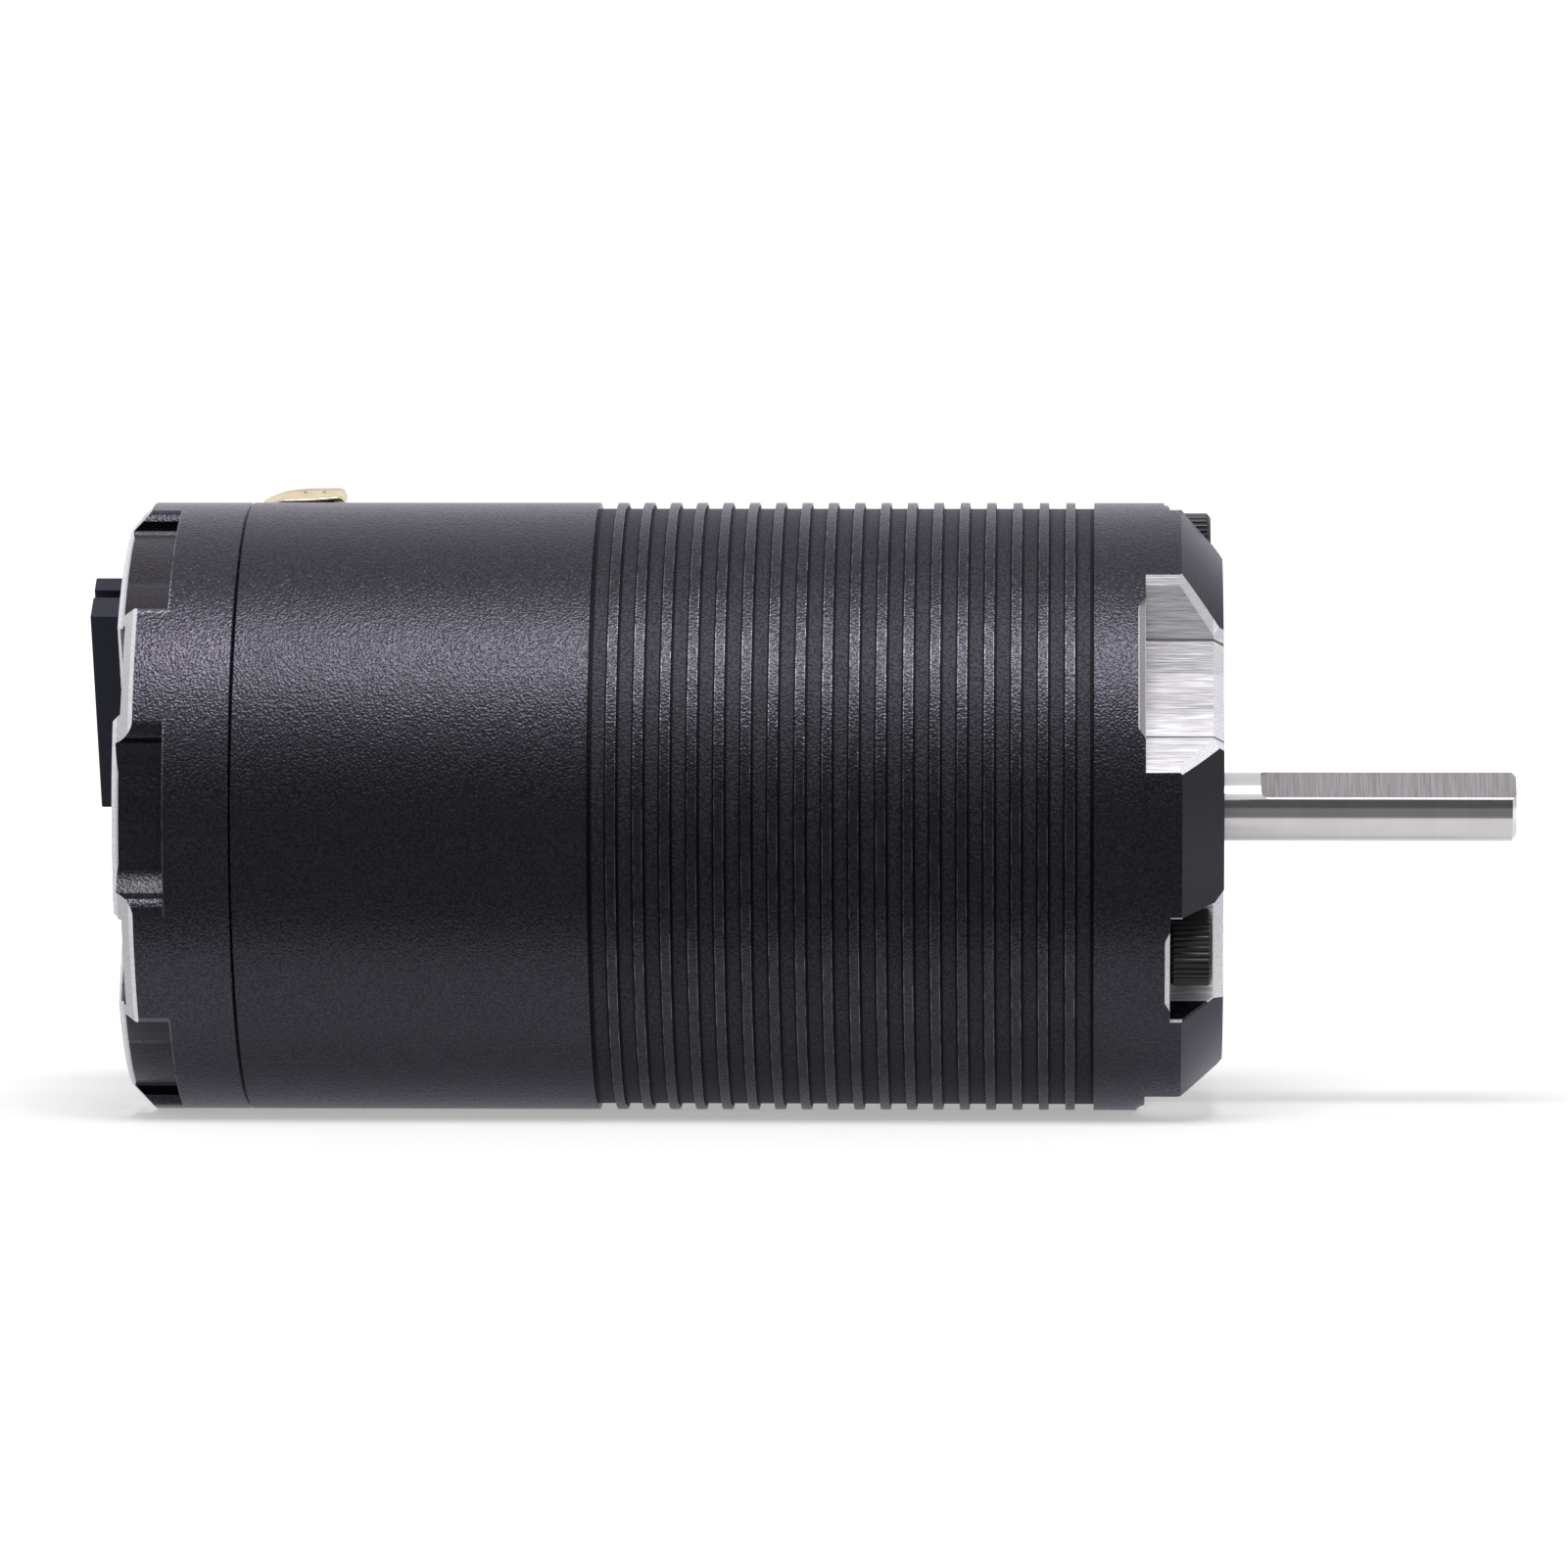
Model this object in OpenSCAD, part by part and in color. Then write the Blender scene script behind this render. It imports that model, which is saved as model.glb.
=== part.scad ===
// Sensored brushless motor for a 1/8 scale model car.
// +X is the output end of the shaft, +Z is up, and the origin is the centre of the front face.
// Angles round the shaft count from -Y, up over +Z. Lengths are in millimetres.

/* [Can] */
// Outside diameter of the can and of the rear end bell
body_d = 44; // [43:0.5:50]
// Length of the can, from its front face to the seam with the rear end bell
can_l = 70.24; // [68:0.1:85]
// Thickness of the can's tube where it is smooth
can_wall = 1.8; // [1.5:0.1:2]
// Thickness of the can's closed front
front_t = 8; // [7.6:0.1:9]
// Length of the front chamfer, along the shaft
front_chamfer_l = 3; // [2.6:0.1:3.3]
// Height of the front chamfer, across the shaft
front_chamfer_h = 3.4; // [3:0.1:3.6]
// Depth of the fine bevels that meet at the seam
seam_bevel = 0.15; // [0.1:0.05:0.3]

/* [Cooling ribs] */
// Number of ribs round the can
rib_count = 18; // [8:1:24]
// Distance from one rib to the next
rib_pitch = 1.905; // [1.5:0.01:2.1]
// Width of a rib's crest
rib_w = 0.68; // [0.4:0.02:0.9]
// Depth of the grooves between the ribs
groove_depth = 0.43; // [0.2:0.01:0.6]
// Width of the first and the last groove
end_groove_w = 1.35; // [1:0.05:1.6]
// Distance from the front face to the first groove
rib_inset = 9.23; // [8:0.05:11]

/* [Front notches] */
// Length of the wide notches, from the front face
notch_l = 5.57; // [5.2:0.05:6]
// Depth of the wide notches below the can's outside
notch_depth = 4.7; // [4.2:0.1:5]
// Width of a wide notch's flat floor
notch_floor_w = 3.3; // [2:0.1:4.4]
// Width between the foots of a wide notch's flanks
notch_mid_w = 7.8; // [7:0.1:8.6]
// Rise from the flat floor to the foot of the flanks
notch_mid_h = 0.9; // [0.4:0.05:1.2]
// Width between the tops of a wide notch's flanks
notch_top_w = 14.4; // [13:0.1:15]
// Height of a wide notch's flanks above its floor
notch_flank_h = 3; // [2.6:0.05:3.2]
// Slope of the bevels along the flanks, in degrees
notch_bevel_deg = 14; // [8:1:20]
// Width of the machined bevels along the notches
notch_bevel = 0.75; // [0.4:0.05:0.9]
// Width of the bevel behind a wide notch's end wall
notch_end_bevel = 0.55; // [0.3:0.05:0.7]
// Length of that bevel along its rear edge
notch_end_w = 9.7; // [8:0.1:10.5]
// Length that the bevel loses at each end, from its front edge to its rear edge
notch_end_mitre = 0.8; // [0.4:0.05:1]

/* [Through screws] */
// Diameter of the screws' thread
screw_d = 3; // [2.5:0.5:3]
// Diameter of the screws' heads
screw_head_d = 5.5; // [5:0.1:5.6]
// Height of the screws' heads
screw_head_h = 3; // [2.5:0.1:3]
// Distance from the front face back to the heads
screw_head_inset = 0.82; // [0.5:0.02:1]
// Space between a screw and the inside of the can's tube
screw_wall_gap = 0.2; // [0.15:0.05:0.3]
// Space between a head and the floor of its notch
head_floor_gap = 0.35; // [0.2:0.05:0.5]
// Radius of a screw notch's round floor
screw_notch_r = 4; // [3.6:0.1:4.4]
// Width of a screw notch at the can's outside
screw_notch_top_w = 8.56; // [8.4:0.02:9.2]
// Width of the fine bevels along a screw notch's flanks
screw_edge_bevel = 0.2; // [0.1:0.05:0.3]
// Width of the bevel behind a screw notch's end wall
screw_end_bevel = 0.4; // [0.2:0.05:0.5]
// Length of that bevel along its rear edge
screw_end_w = 5.1; // [4:0.1:5.6]
// Length that the bevel loses at each end, from its front edge to its rear edge
screw_end_mitre = 0.84; // [0.4:0.02:1]

/* [Mounting holes] */
// Diameter of the circle of mounting holes
mount_pcd = 25; // [24.5:0.1:26]
// Diameter of the mounting holes, drilled for M4 threads
mount_hole_d = 3.3; // [2.5:0.1:3.4]
// Depth of the mounting holes
mount_hole_l = 6; // [4:0.5:6.5]

/* [Shaft] */
// Diameter of the shaft's ends
shaft_d = 5; // [4.8:0.1:5.2]
// Length of the shaft in front of the can
shaft_out_l = 21.3; // [14:0.1:30]
// Depth of the ground flat
flat_depth = 0.5; // [0.3:0.05:0.6]
// Distance from the front face to the start of the flat
flat_start = 2.84; // [1:0.1:5]
// Radius of the flat's corners
flat_corner_r = 0.6; // [0.3:0.1:0.9]
// Chamfer at the shaft's ends
shaft_chamfer = 0.3; // [0.1:0.05:0.5]
// Diameter of the shaft inside the rotor
shaft_rotor_d = 8; // [7.4:0.1:8.6]
// Depth of the grinding relief between the output and the front bearing
relief_depth = 0.25; // [0.15:0.05:0.4]

/* [Front bearing] */
// Outside diameter of the front bearing
front_bearing_d = 16; // [15:0.5:16.5]
// Width of the front bearing
front_bearing_w = 5; // [4.4:0.1:5.2]
// Diameter of the balls in the front bearing
front_ball_d = 3.4; // [3:0.1:3.5]
// Number of balls in the front bearing
front_balls = 7; // [5:1:7]

/* [Rear bearing] */
// Outside diameter of the rear bearing
rear_bearing_d = 13; // [12.6:0.2:14]
// Width of the rear bearing
rear_bearing_w = 4; // [3.6:0.1:4.2]
// Diameter of the balls in the rear bearing
rear_ball_d = 2.4; // [2:0.1:2.5]
// Number of balls in the rear bearing
rear_balls = 8; // [5:1:8]

/* [Rotor] */
// Outside diameter of the rotor's sleeve
rotor_d = 19; // [17:0.1:19.6]
// Gap between the rotor and the stator
air_gap = 0.5; // [0.3:0.05:0.8]
// Thickness of the sleeve that holds the magnets
sleeve_t = 0.5; // [0.3:0.05:0.8]
// Thickness of the magnets
magnet_t = 2.9; // [2.2:0.1:3.2]
// Length of the magnets beyond each end of the stator's core
magnet_over = 2; // [1:0.1:3]
// Thickness of the balance rings
balance_t = 3; // [2:0.1:3.4]
// Diameter of the balance rings
balance_d = 17; // [14:0.1:17.4]

/* [Stator] */
// Space between the can's closed front and the stator's core
front_end_space = 10; // [9.4:0.1:12]
// Space between the stator's core and the seam
rear_end_space = 12.2; // [11.8:0.1:14]
// Width of a tooth
tooth_w = 3.2; // [2.6:0.1:3.4]
// Thickness of a tooth's tip
tooth_tip_t = 1; // [0.7:0.1:1.2]
// Gap between two tooth tips
slot_mouth = 1.6; // [1.2:0.1:2]
// Thickness of the core between a screw's groove and the slots
root_t = 0.5; // [0.4:0.1:0.8]
// Thickness of the slot insulators
insulator_t = 0.8; // [0.5:0.1:1]
// Height of the windings beyond the slot insulators
winding_end_h = 5; // [3:0.1:5.2]

/* [Rear end bell] */
// Length of the rear end bell behind the seam
bell_l = 8.42; // [8:0.1:10]
// Length of the register inside the can
register_l = 2; // [1:0.1:2]
// Chamfer round the rear edge
rear_chamfer = 1.5; // [1:0.1:1.8]
// Length of the side pockets
pocket_l = 3.66; // [2.5:0.02:4]
// Depth of the side pockets
pocket_depth = 1; // [0.5:0.1:1.2]
// Radius of a pocket's rounded shoulders
pocket_round_r = 1.3; // [1.2:0.05:1.5]
// Radius of the edge on a pocket's steep walls
pocket_edge_r = 0.35; // [0.2:0.05:0.5]
// Depth of the recesses in the rear face
recess_depth = 3.2; // [2:0.1:3.3]
// Thickness of the rim outside the recesses
recess_rim = 0.9; // [0.7:0.1:1.2]
// Length of a recess, across the shaft
recess_h = 5.2; // [4.6:0.1:5.4]
// Width of a recess at the rim
recess_outer_w = 7.6; // [6:0.1:7.8]
// Width of a recess at its inner end
recess_inner_w = 2; // [1.4:0.1:3]
// Width of the bevels round the recesses
recess_bevel = 0.45; // [0.2:0.05:0.5]
// Thickness of the wall between the cavity and the rear face
bell_wall = 6.6; // [6.3:0.1:7]
// Thickness of the wall round the rear bearing
bearing_wall = 2; // [1.4:0.1:2.4]
// Diameter of the holes that the shaft turns in, in both ends
shaft_hole_d = 8.4; // [7:0.1:9]

/* [Sensor board and socket] */
// Thickness of the sensor board
board_t = 1.2; // [0.8:0.1:1.6]
// Diameter of the hole in the sensor board
board_hole_d = 11; // [9:0.5:13]
// Length of the posts that hold the board
post_l = 3.8; // [3.4:0.1:4]
// Length of the socket, round the shaft
socket_l = 15.7; // [14:0.1:16]
// Thickness of the socket, across the shaft
socket_t = 5.5; // [5:0.1:5.6]
// Distance from the shaft's axis to the middle of the socket
socket_r = 16; // [15.8:0.1:16.1]
// Length of the socket behind the rear face
socket_out = 4.2; // [3:0.1:6]
// Thickness of the socket's walls
socket_wall = 1; // [0.7:0.1:1.2]
// Depth of the socket's cavity
socket_depth = 5; // [3.5:0.1:6]
// Number of contacts
pin_count = 6; // [3:1:7]
// Distance from one contact to the next
pin_pitch = 1.5; // [1.2:0.05:1.5]
// Thickness of a contact
pin_t = 0.5; // [0.4:0.05:0.6]

/* [Solder tabs] */
// Length of a tab, along the shaft
tab_l = 5.6; // [5:0.1:6]
// Width of a tab, round the shaft
tab_w = 4.6; // [4:0.1:5]
// Thickness of a tab's plate
tab_t = 0.8; // [0.6:0.1:1]
// Distance from the seam to the middle of a tab
tab_inset = 3.85; // [3.8:0.05:4.5]
// Height of the insulator above the can
tab_base_h = 0.8; // [0.5:0.1:1.2]
// Length of the opening in the can for a tab
tab_hole_l = 3.4; // [3:0.1:3.6]

/* [Hidden] */
$fn = 96;

// Fits and overruns
fit = 0.03;
over = 0.5;

// Places round the shaft, in degrees
notch_angles = [30, 150, 270];
screw_angles = [90, 210, 330];
mount_angles = [0, 90, 180, 270];
recess_angles = [30, 90, 210, 270, 330];
socket_angle = 150;
tab_angles = [108, 150, 192];
flat_angle = 52;
pocket_half_deg = 18.4;
pocket_dip_deg = 6;

// How close a pocket's wall lies to the side of its shoulder's circle, so that they meet at an edge
pocket_bite_share = 0.98;

// Overall
body_r = body_d / 2;
can_in_r = body_r - can_wall;
total_l = can_l + bell_l;
front_face_r = body_r - front_chamfer_h;
shaft_r = shaft_d / 2;
shaft_hole_r = shaft_hole_d / 2;

// Screws
screw_r = screw_d / 2;
screw_circle_r = can_in_r - screw_wall_gap - screw_r;
screw_seat_x = -(screw_head_inset + screw_head_h);
screw_hole_gap = 0.1;
screw_thread_gap = 0.03;
screw_tip_inset = 1.6;
screw_tip_x = -(total_l - recess_depth - screw_tip_inset);
screw_key_w_share = 0.4545;
screw_key_l_share = 0.45;
screw_key_w = screw_head_d * screw_key_w_share;
screw_key_l = screw_head_h * screw_key_l_share;
screw_head_chamfer = 0.25;
screw_notch_floor = screw_circle_r - screw_head_d / 2 - head_floor_gap;
screw_notch_z = screw_notch_floor + screw_notch_r;

// Bearings, and the pieces between them on the shaft
front_bearing_x = -front_t;
front_bearing_r = front_bearing_d / 2;
rear_bearing_r = rear_bearing_d / 2;
spring_space = 0.4;
spring_t = 0.2;
rear_wall_t = 2.06;
rear_seat_x = -(total_l - rear_wall_t);
rear_bearing_x = rear_seat_x + spring_space;
race_share = 0.55;
ball_gap = 0.06;
cage_t_share = 0.5;
cage_w_share = 0.7;
cage_web = 0.2;
shield_t = 0.25;
shield_inset = 0.15;
shield_gap = 0.15;
front_bell_clear = 0.05;

// Rotor
rotor_r = rotor_d / 2;
stack_l = can_l - front_t - front_end_space - rear_end_space;
stack_front_x = -(front_t + front_end_space);
stack_rear_x = stack_front_x - stack_l;
magnet_front_x = stack_front_x + magnet_over;
magnet_rear_x = stack_rear_x - magnet_over;
rotor_front_x = magnet_front_x + balance_t;
rotor_rear_x = magnet_rear_x - balance_t;
magnet_out_r = rotor_r - sleeve_t - fit;
magnet_in_r = magnet_out_r - magnet_t;
magnet_count = 4;
magnet_gap = 0.15;
spacer_t = 1;
spacer_r = shaft_r + spacer_t;

// Stator
stator_r = can_in_r - fit;
stator_bore_r = rotor_r + air_gap;
slot_in_r = stator_bore_r + tooth_tip_t;
groove_r = screw_r + screw_hole_gap;
slot_out_r = screw_circle_r - groove_r - root_t;
tooth_count = 12;
coil_gap = 0.1;
tip_deg = 360 / tooth_count;
insulator_rim_t = 3;
insulator_rim_gap = 0.4;
insulator_rim_r = stator_r - insulator_rim_gap;

// Rear end bell
register_r = can_in_r - front_bell_clear;
cavity_wall = 0.8;
cavity_r = screw_circle_r - screw_r - cavity_wall;
cavity_x = -(total_l - bell_wall);
boss_l = 1.2;
boss_x = cavity_x + boss_l;
recess_out_r = body_r - recess_rim;
recess_in_r = recess_out_r - recess_h;

// Sensor board
board_rear_x = cavity_x + post_l;
board_front_x = board_rear_x + board_t;
board_gap = 0.3;
board_r = cavity_r - board_gap;
post_r = 2.2;
post_circle_r = 12.3;
board_screw_d = 2;
board_screw_l = 4;
board_screw_head_d = 3.6;
board_screw_head_h = 1.1;
hall_circle_r = 8;
hall_angles = [30, 60, 90];
hall_size = [1.5, 3, 3];

// Socket
socket_in = 1.1;
socket_front_x = cavity_x + socket_in;
socket_rear_x = -(total_l + socket_out);
socket_gap = 0.05;
pin_row_drop = 0.8;
pin_row_r = socket_r - pin_row_drop;
pin_tip_inset = 1;
key_groove_w = 0.5;
key_groove_d = 0.4;
key_groove_inset = 1.3;

// Solder tabs
tab_x = -(can_l - tab_inset);
tab_hole_inset = 0.4;
tab_hole_w = tab_w - 2 * tab_hole_inset;
tab_stem_l = 1.4;
tab_stem_inset = 0.8;
tab_stem_w = tab_w - 2 * tab_stem_inset;
tab_stem_depth = 3.4;
tab_slope_l = 0.9;
tab_slope_h = 0.5;
tab_base_inset = 0.1;
tab_front_over = 0.9;
tab_clear = 0.05;

// Stands children, drawn on +Z, at an angle round the shaft
module at_angle(angle) {
    rotate([90 - angle, 0, 0]) children();
}

// Turns an outline of [radius, x] points round the shaft's axis
module turned(points) {
    rotate([0, 90, 0]) rotate_extrude() polygon(points);
}

// Extrudes an outline of [across, outward] points along +X from x
module prism_x(x, l) {
    translate([x, 0, 0]) rotate([90, 0, 90]) linear_extrude(l) children();
}

// A cylinder along +X from x, at a distance out from the axis
module rod_x(x, l, r, out = 0) {
    translate([x, 0, out]) rotate([0, 90, 0]) cylinder(h = l, r = r);
}

// A ring round the shaft's axis
module ring_x(x, l, r_in, r_out) {
    turned([[r_in, x], [r_out, x], [r_out, x + l], [r_in, x + l]]);
}

// The metal that a flat bevel takes off the edge from p to q; out points away from the metal
module edge_bevel(p, q, out, depth, reach) {
    u = (q - p) / norm(q - p);
    across = out - (out * u) * u;
    n = across / norm(across);
    v = cross(n, u);
    multmatrix([
        [u.x, v.x, n.x, p.x],
        [u.y, v.y, n.y, p.y],
        [u.z, v.z, n.z, p.z],
        [0, 0, 0, 1]])
        translate([-reach, -reach, -depth])
            cube([norm(q - p) + 2 * reach, 2 * reach, 2 * reach]);
}

// One side of the bevel round a hole in a flat face: the hole lies to the left of the line a to b
module bevel_side(a, b, width, reach) {
    translate([a.x, a.y, 0])
        rotate([0, 0, atan2(b.y - a.y, b.x - a.x)])
            rotate([-45, 0, 0])
                translate([-reach, -reach, -width / sqrt(2)])
                    cube([2 * reach, 2 * reach, reach]);
}

// A point at an angle from +Z, and its mirror image across +Z
function polar(angle, r) = r * [sin(angle), cos(angle)];

function flip(p) = [-p.x, p.y];

// Where a line from a (across, outward) along d crosses the circle of radius r
function on_circle(a, d, r) =
    let (u = d / norm(d), k = a * u) a + u * (sqrt(k * k - a * a + r * r) - k);

// The bevel where a notch meets the front face; points is its outline from left to right, below it
module face_bevel(points, width) {
    rotate([90, 0, 90])
        intersection_for (i = [0 : len(points) - 2])
            bevel_side(points[i], points[i + 1], width, body_d);
}

// The bevel behind a notch's end wall at -l, with mitred ends
module end_bevel(l, width, rear_w, mitre) {
    half_rear = rear_w / 2;
    half_front = rear_w / 2 + mitre * 1.5;
    intersection() {
        turned([
            [body_r - width, -l], [body_r + over, -l - width - over], [body_r + over, -l + width / 2],
            [body_r - width, -l + width / 2]]);
        linear_extrude(body_d)
            polygon([
                [-l + width / 2, -half_front], [-l + width / 2, half_front],
                [-l - width, half_rear], [-l - width, -half_rear]]);
    }
}

// Bevels where a notch's two flanks meet the front chamfer, from near on the front face to far outside
module chamfer_bevels(near, far, width) {
    rise = far - near;
    mid = (near + far) / 2;
    cone = concat([front_chamfer_h], mid / norm(mid) * front_chamfer_l) / norm([front_chamfer_h, front_chamfer_l]);
    flank = [0, -rise.y, rise.x] / norm(rise);
    half = acos(cone * flank) / 2;
    out = cone + flank;
    for (side = [-1, 1])
        edge_bevel(
            [0, side * near.x, near.y], [-front_chamfer_l, side * far.x, far.y],
            [out.x, side * out.y, out.z], width / 2 * tan(half), width);
}

// A wide notch, drawn on +Z: a floor in three facets between sloped flanks
module wide_notch() {
    floor_z = body_r - notch_depth;
    low = [notch_floor_w / 2, floor_z];
    mid = [notch_mid_w / 2, floor_z + notch_mid_h];
    top = [notch_top_w / 2, floor_z + notch_flank_h];
    brow = top + (body_r - top.x) * [1, tan(notch_bevel_deg)];
    prism_x(-notch_l, notch_l + over)
        polygon([
            flip(top), flip(mid), flip(low), low, mid, top, brow,
            [brow.x, body_r + brow.x], [-brow.x, body_r + brow.x], flip(brow)]);
    face_bevel([flip(top), flip(mid), flip(low), low, mid, top], notch_bevel);
    chamfer_bevels(on_circle(mid, top - mid, front_face_r), on_circle(mid, top - mid, body_r), notch_bevel);
    end_bevel(notch_l, notch_end_bevel, notch_end_w, notch_end_mitre);
}

// A screw notch, drawn on +Z: a round floor between steep flanks, with the screw's hole behind it
module screw_notch() {
    low = [screw_notch_r, screw_notch_z];
    edge = [screw_notch_top_w / 2, sqrt(body_r * body_r - screw_notch_top_w * screw_notch_top_w / 4)];
    rise = (edge - low) / norm(edge - low);
    top = edge - screw_edge_bevel * rise;
    brow = top + body_r * (rise + [edge.y, -edge.x] / body_r);
    rim_z = (front_face_r * front_face_r - screw_notch_r * screw_notch_r + screw_notch_z * screw_notch_z)
        / (2 * screw_notch_z);
    prism_x(screw_seat_x, over - screw_seat_x) {
        translate([0, screw_notch_z]) circle(r = screw_notch_r);
        polygon([flip(low), low, top, brow, flip(brow), flip(top)]);
    }
    translate([0, 0, screw_notch_z])
        turned([
            [0, -notch_bevel], [screw_notch_r, -notch_bevel], [screw_notch_r + notch_bevel + over, over], [0, over]]);
    chamfer_bevels([sqrt(front_face_r * front_face_r - rim_z * rim_z), rim_z], edge, screw_edge_bevel);
    end_bevel(-screw_seat_x, screw_end_bevel, screw_end_w, screw_end_mitre);
    rod_x(-front_t - over, front_t + screw_seat_x + 2 * over, screw_r + screw_hole_gap, screw_circle_r);
}

// The can, one turned piece with its front
groove_w = rib_pitch - rib_w;
rear_groove_x = -(rib_inset + 2 * end_groove_w + (rib_count - 1) * rib_pitch + rib_w);

// The outline of one groove, from its rear wall at x
function groove_outline(x, w) = [
    [body_r, x], [body_r - groove_depth, x], [body_r - groove_depth, x + w], [body_r, x + w]];

function rib_outline() = concat(
    groove_outline(rear_groove_x, end_groove_w),
    [for (i = [0 : rib_count - 2])
        each groove_outline(rear_groove_x + end_groove_w + rib_w + i * rib_pitch, groove_w)],
    groove_outline(-rib_inset - end_groove_w, end_groove_w));

module can() {
    color([0.13, 0.13, 0.15])
    difference() {
        turned(concat(
            [[can_in_r, -can_l], [body_r - seam_bevel, -can_l], [body_r, -can_l + seam_bevel]],
            rib_outline(),
            [
                [body_r, -front_chamfer_l], [front_face_r, 0],
                [shaft_hole_r, 0], [shaft_hole_r, front_bearing_x + front_bearing_w],
                [front_bearing_r + fit, front_bearing_x + front_bearing_w],
                [front_bearing_r + fit, front_bearing_x], [can_in_r, front_bearing_x]]));
        for (angle = notch_angles)
            at_angle(angle) wide_notch();
        for (angle = screw_angles)
            at_angle(angle) screw_notch();
        for (angle = mount_angles)
            at_angle(angle) rod_x(-mount_hole_l, mount_hole_l + over, mount_hole_d / 2, mount_pcd / 2);
        for (angle = tab_angles)
            at_angle(angle)
                translate([tab_x - tab_hole_l / 2, -tab_hole_w / 2, can_in_r - over])
                    cube([tab_hole_l, tab_hole_w, can_wall + 2 * over]);
    }
}

// The side pockets: each one's angle, and the radii of its shoulders on its lower and its higher side
pockets = [
    [0, pocket_round_r, pocket_round_r], [60, pocket_edge_r, pocket_round_r], [120, pocket_round_r, pocket_edge_r],
    [180, pocket_round_r, pocket_round_r], [240, pocket_edge_r, pocket_round_r], [300, pocket_round_r, pocket_edge_r]];

// How far round the shaft a shoulder of radius r reaches, in degrees
function shoulder_deg(r) = asin(r * pocket_bite_share / (body_r - r));

// The metal left at a pocket's side: a straight wall that runs into a rounded edge
module pocket_shoulder(r) {
    centre = polar(pocket_half_deg, body_r - r);
    translate(centre) circle(r = r);
    polygon([[0, 0], polar(pocket_half_deg - shoulder_deg(r), norm(centre) * cos(shoulder_deg(r))), centre]);
}

// The metal that the floor loses where it dips towards a shoulder that rises from below it
module pocket_dip(r, floor_r) {
    if (r > pocket_depth)
        polygon([
            polar(pocket_half_deg, body_r - r),
            polar(pocket_half_deg - shoulder_deg(r) - pocket_dip_deg, floor_r),
            polar(pocket_half_deg, body_r)]);
}

// The outline that one side pocket takes off
module pocket_outline(low_r, high_r) {
    floor_r = body_r - pocket_depth;
    difference() {
        polygon([[0, 0], polar(-pocket_half_deg, body_r + pocket_l), polar(pocket_half_deg, body_r + pocket_l)]);
        difference() {
            circle(r = floor_r);
            mirror([1, 0]) pocket_dip(low_r, floor_r);
            pocket_dip(high_r, floor_r);
        }
        mirror([1, 0]) pocket_shoulder(low_r);
        pocket_shoulder(high_r);
    }
}

// A recess in the rear face, drawn on +Z
module rear_recess() {
    ho = recess_outer_w / 2;
    hi = recess_inner_w / 2;
    slope = (ho - hi) / recess_h;
    reach_w = ho + slope * recess_rim;
    intersection() {
        prism_x(-total_l - over, recess_depth + over)
            polygon([
                [-hi, recess_in_r], [hi, recess_in_r], [reach_w, body_r], [-reach_w, body_r]]);
        rod_x(-total_l - over, recess_depth + over, recess_out_r);
    }
    intersection() {
        translate([-total_l, 0, 0]) mirror([1, 0, 0]) rotate([90, 0, 90])
            intersection() {
                bevel_side([-hi, recess_in_r], [hi, recess_in_r], recess_bevel, body_d);
                bevel_side([hi, recess_in_r], [reach_w, body_r], recess_bevel, body_d);
                bevel_side([-reach_w, body_r], [-hi, recess_in_r], recess_bevel, body_d);
            }
        rod_x(-total_l - over, recess_depth, recess_out_r);
    }
}

module rear_end_bell() {
    color([0.13, 0.13, 0.15])
    difference() {
        union() {
            turned([
                [cavity_r, -can_l + register_l], [register_r, -can_l + register_l], [register_r, -can_l],
                [body_r - seam_bevel, -can_l], [body_r, -can_l - seam_bevel],
                [body_r, -total_l + rear_chamfer], [body_r - rear_chamfer, -total_l],
                [shaft_hole_r, -total_l], [shaft_hole_r, rear_seat_x],
                [rear_bearing_r + fit, rear_seat_x], [rear_bearing_r + fit, boss_x],
                [rear_bearing_r + bearing_wall, boss_x], [rear_bearing_r + bearing_wall, cavity_x],
                [cavity_r, cavity_x]]);
            for (angle = screw_angles)
                at_angle(angle) rod_x(cavity_x - over, post_l + over, post_r, post_circle_r);
        }
        for (pocket = pockets)
            at_angle(pocket[0]) prism_x(-total_l - over, pocket_l + over) pocket_outline(pocket[1], pocket[2]);
        for (angle = recess_angles)
            at_angle(angle) rear_recess();
        for (angle = screw_angles)
            at_angle(angle) {
                rod_x(-total_l, total_l - can_l + over + register_l, screw_r + screw_thread_gap, screw_circle_r);
                rod_x(-can_l, register_l + over, screw_r + screw_wall_gap + fit, screw_circle_r);
                rod_x(board_rear_x - board_screw_l, board_screw_l + over, board_screw_d / 2 + fit, post_circle_r);
            }
        at_angle(socket_angle)
            translate([socket_rear_x, -socket_l / 2 - socket_gap, socket_r - socket_t / 2 - socket_gap])
                cube([socket_front_x - socket_rear_x, socket_l + 2 * socket_gap, socket_t + 2 * socket_gap]);
    }
}

// Socket head screws, from the front through the can into the rear end bell
module through_screws() {
    color([0.1, 0.1, 0.1])
    for (angle = screw_angles)
        at_angle(angle)
            translate([0, 0, screw_circle_r])
                difference() {
                    union() {
                        turned([
                            [0, screw_seat_x], [screw_head_d / 2, screw_seat_x],
                            [screw_head_d / 2, -screw_head_inset - screw_head_chamfer],
                            [screw_head_d / 2 - screw_head_chamfer, -screw_head_inset],
                            [0, -screw_head_inset]]);
                        rod_x(screw_tip_x, screw_seat_x - screw_tip_x + over, screw_r);
                    }
                    translate([-screw_head_inset - screw_key_l, 0, 0]) rotate([0, 90, 0])
                        cylinder(h = screw_key_l + over, d = screw_key_w / cos(30), $fn = 6);
                }
}

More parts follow.
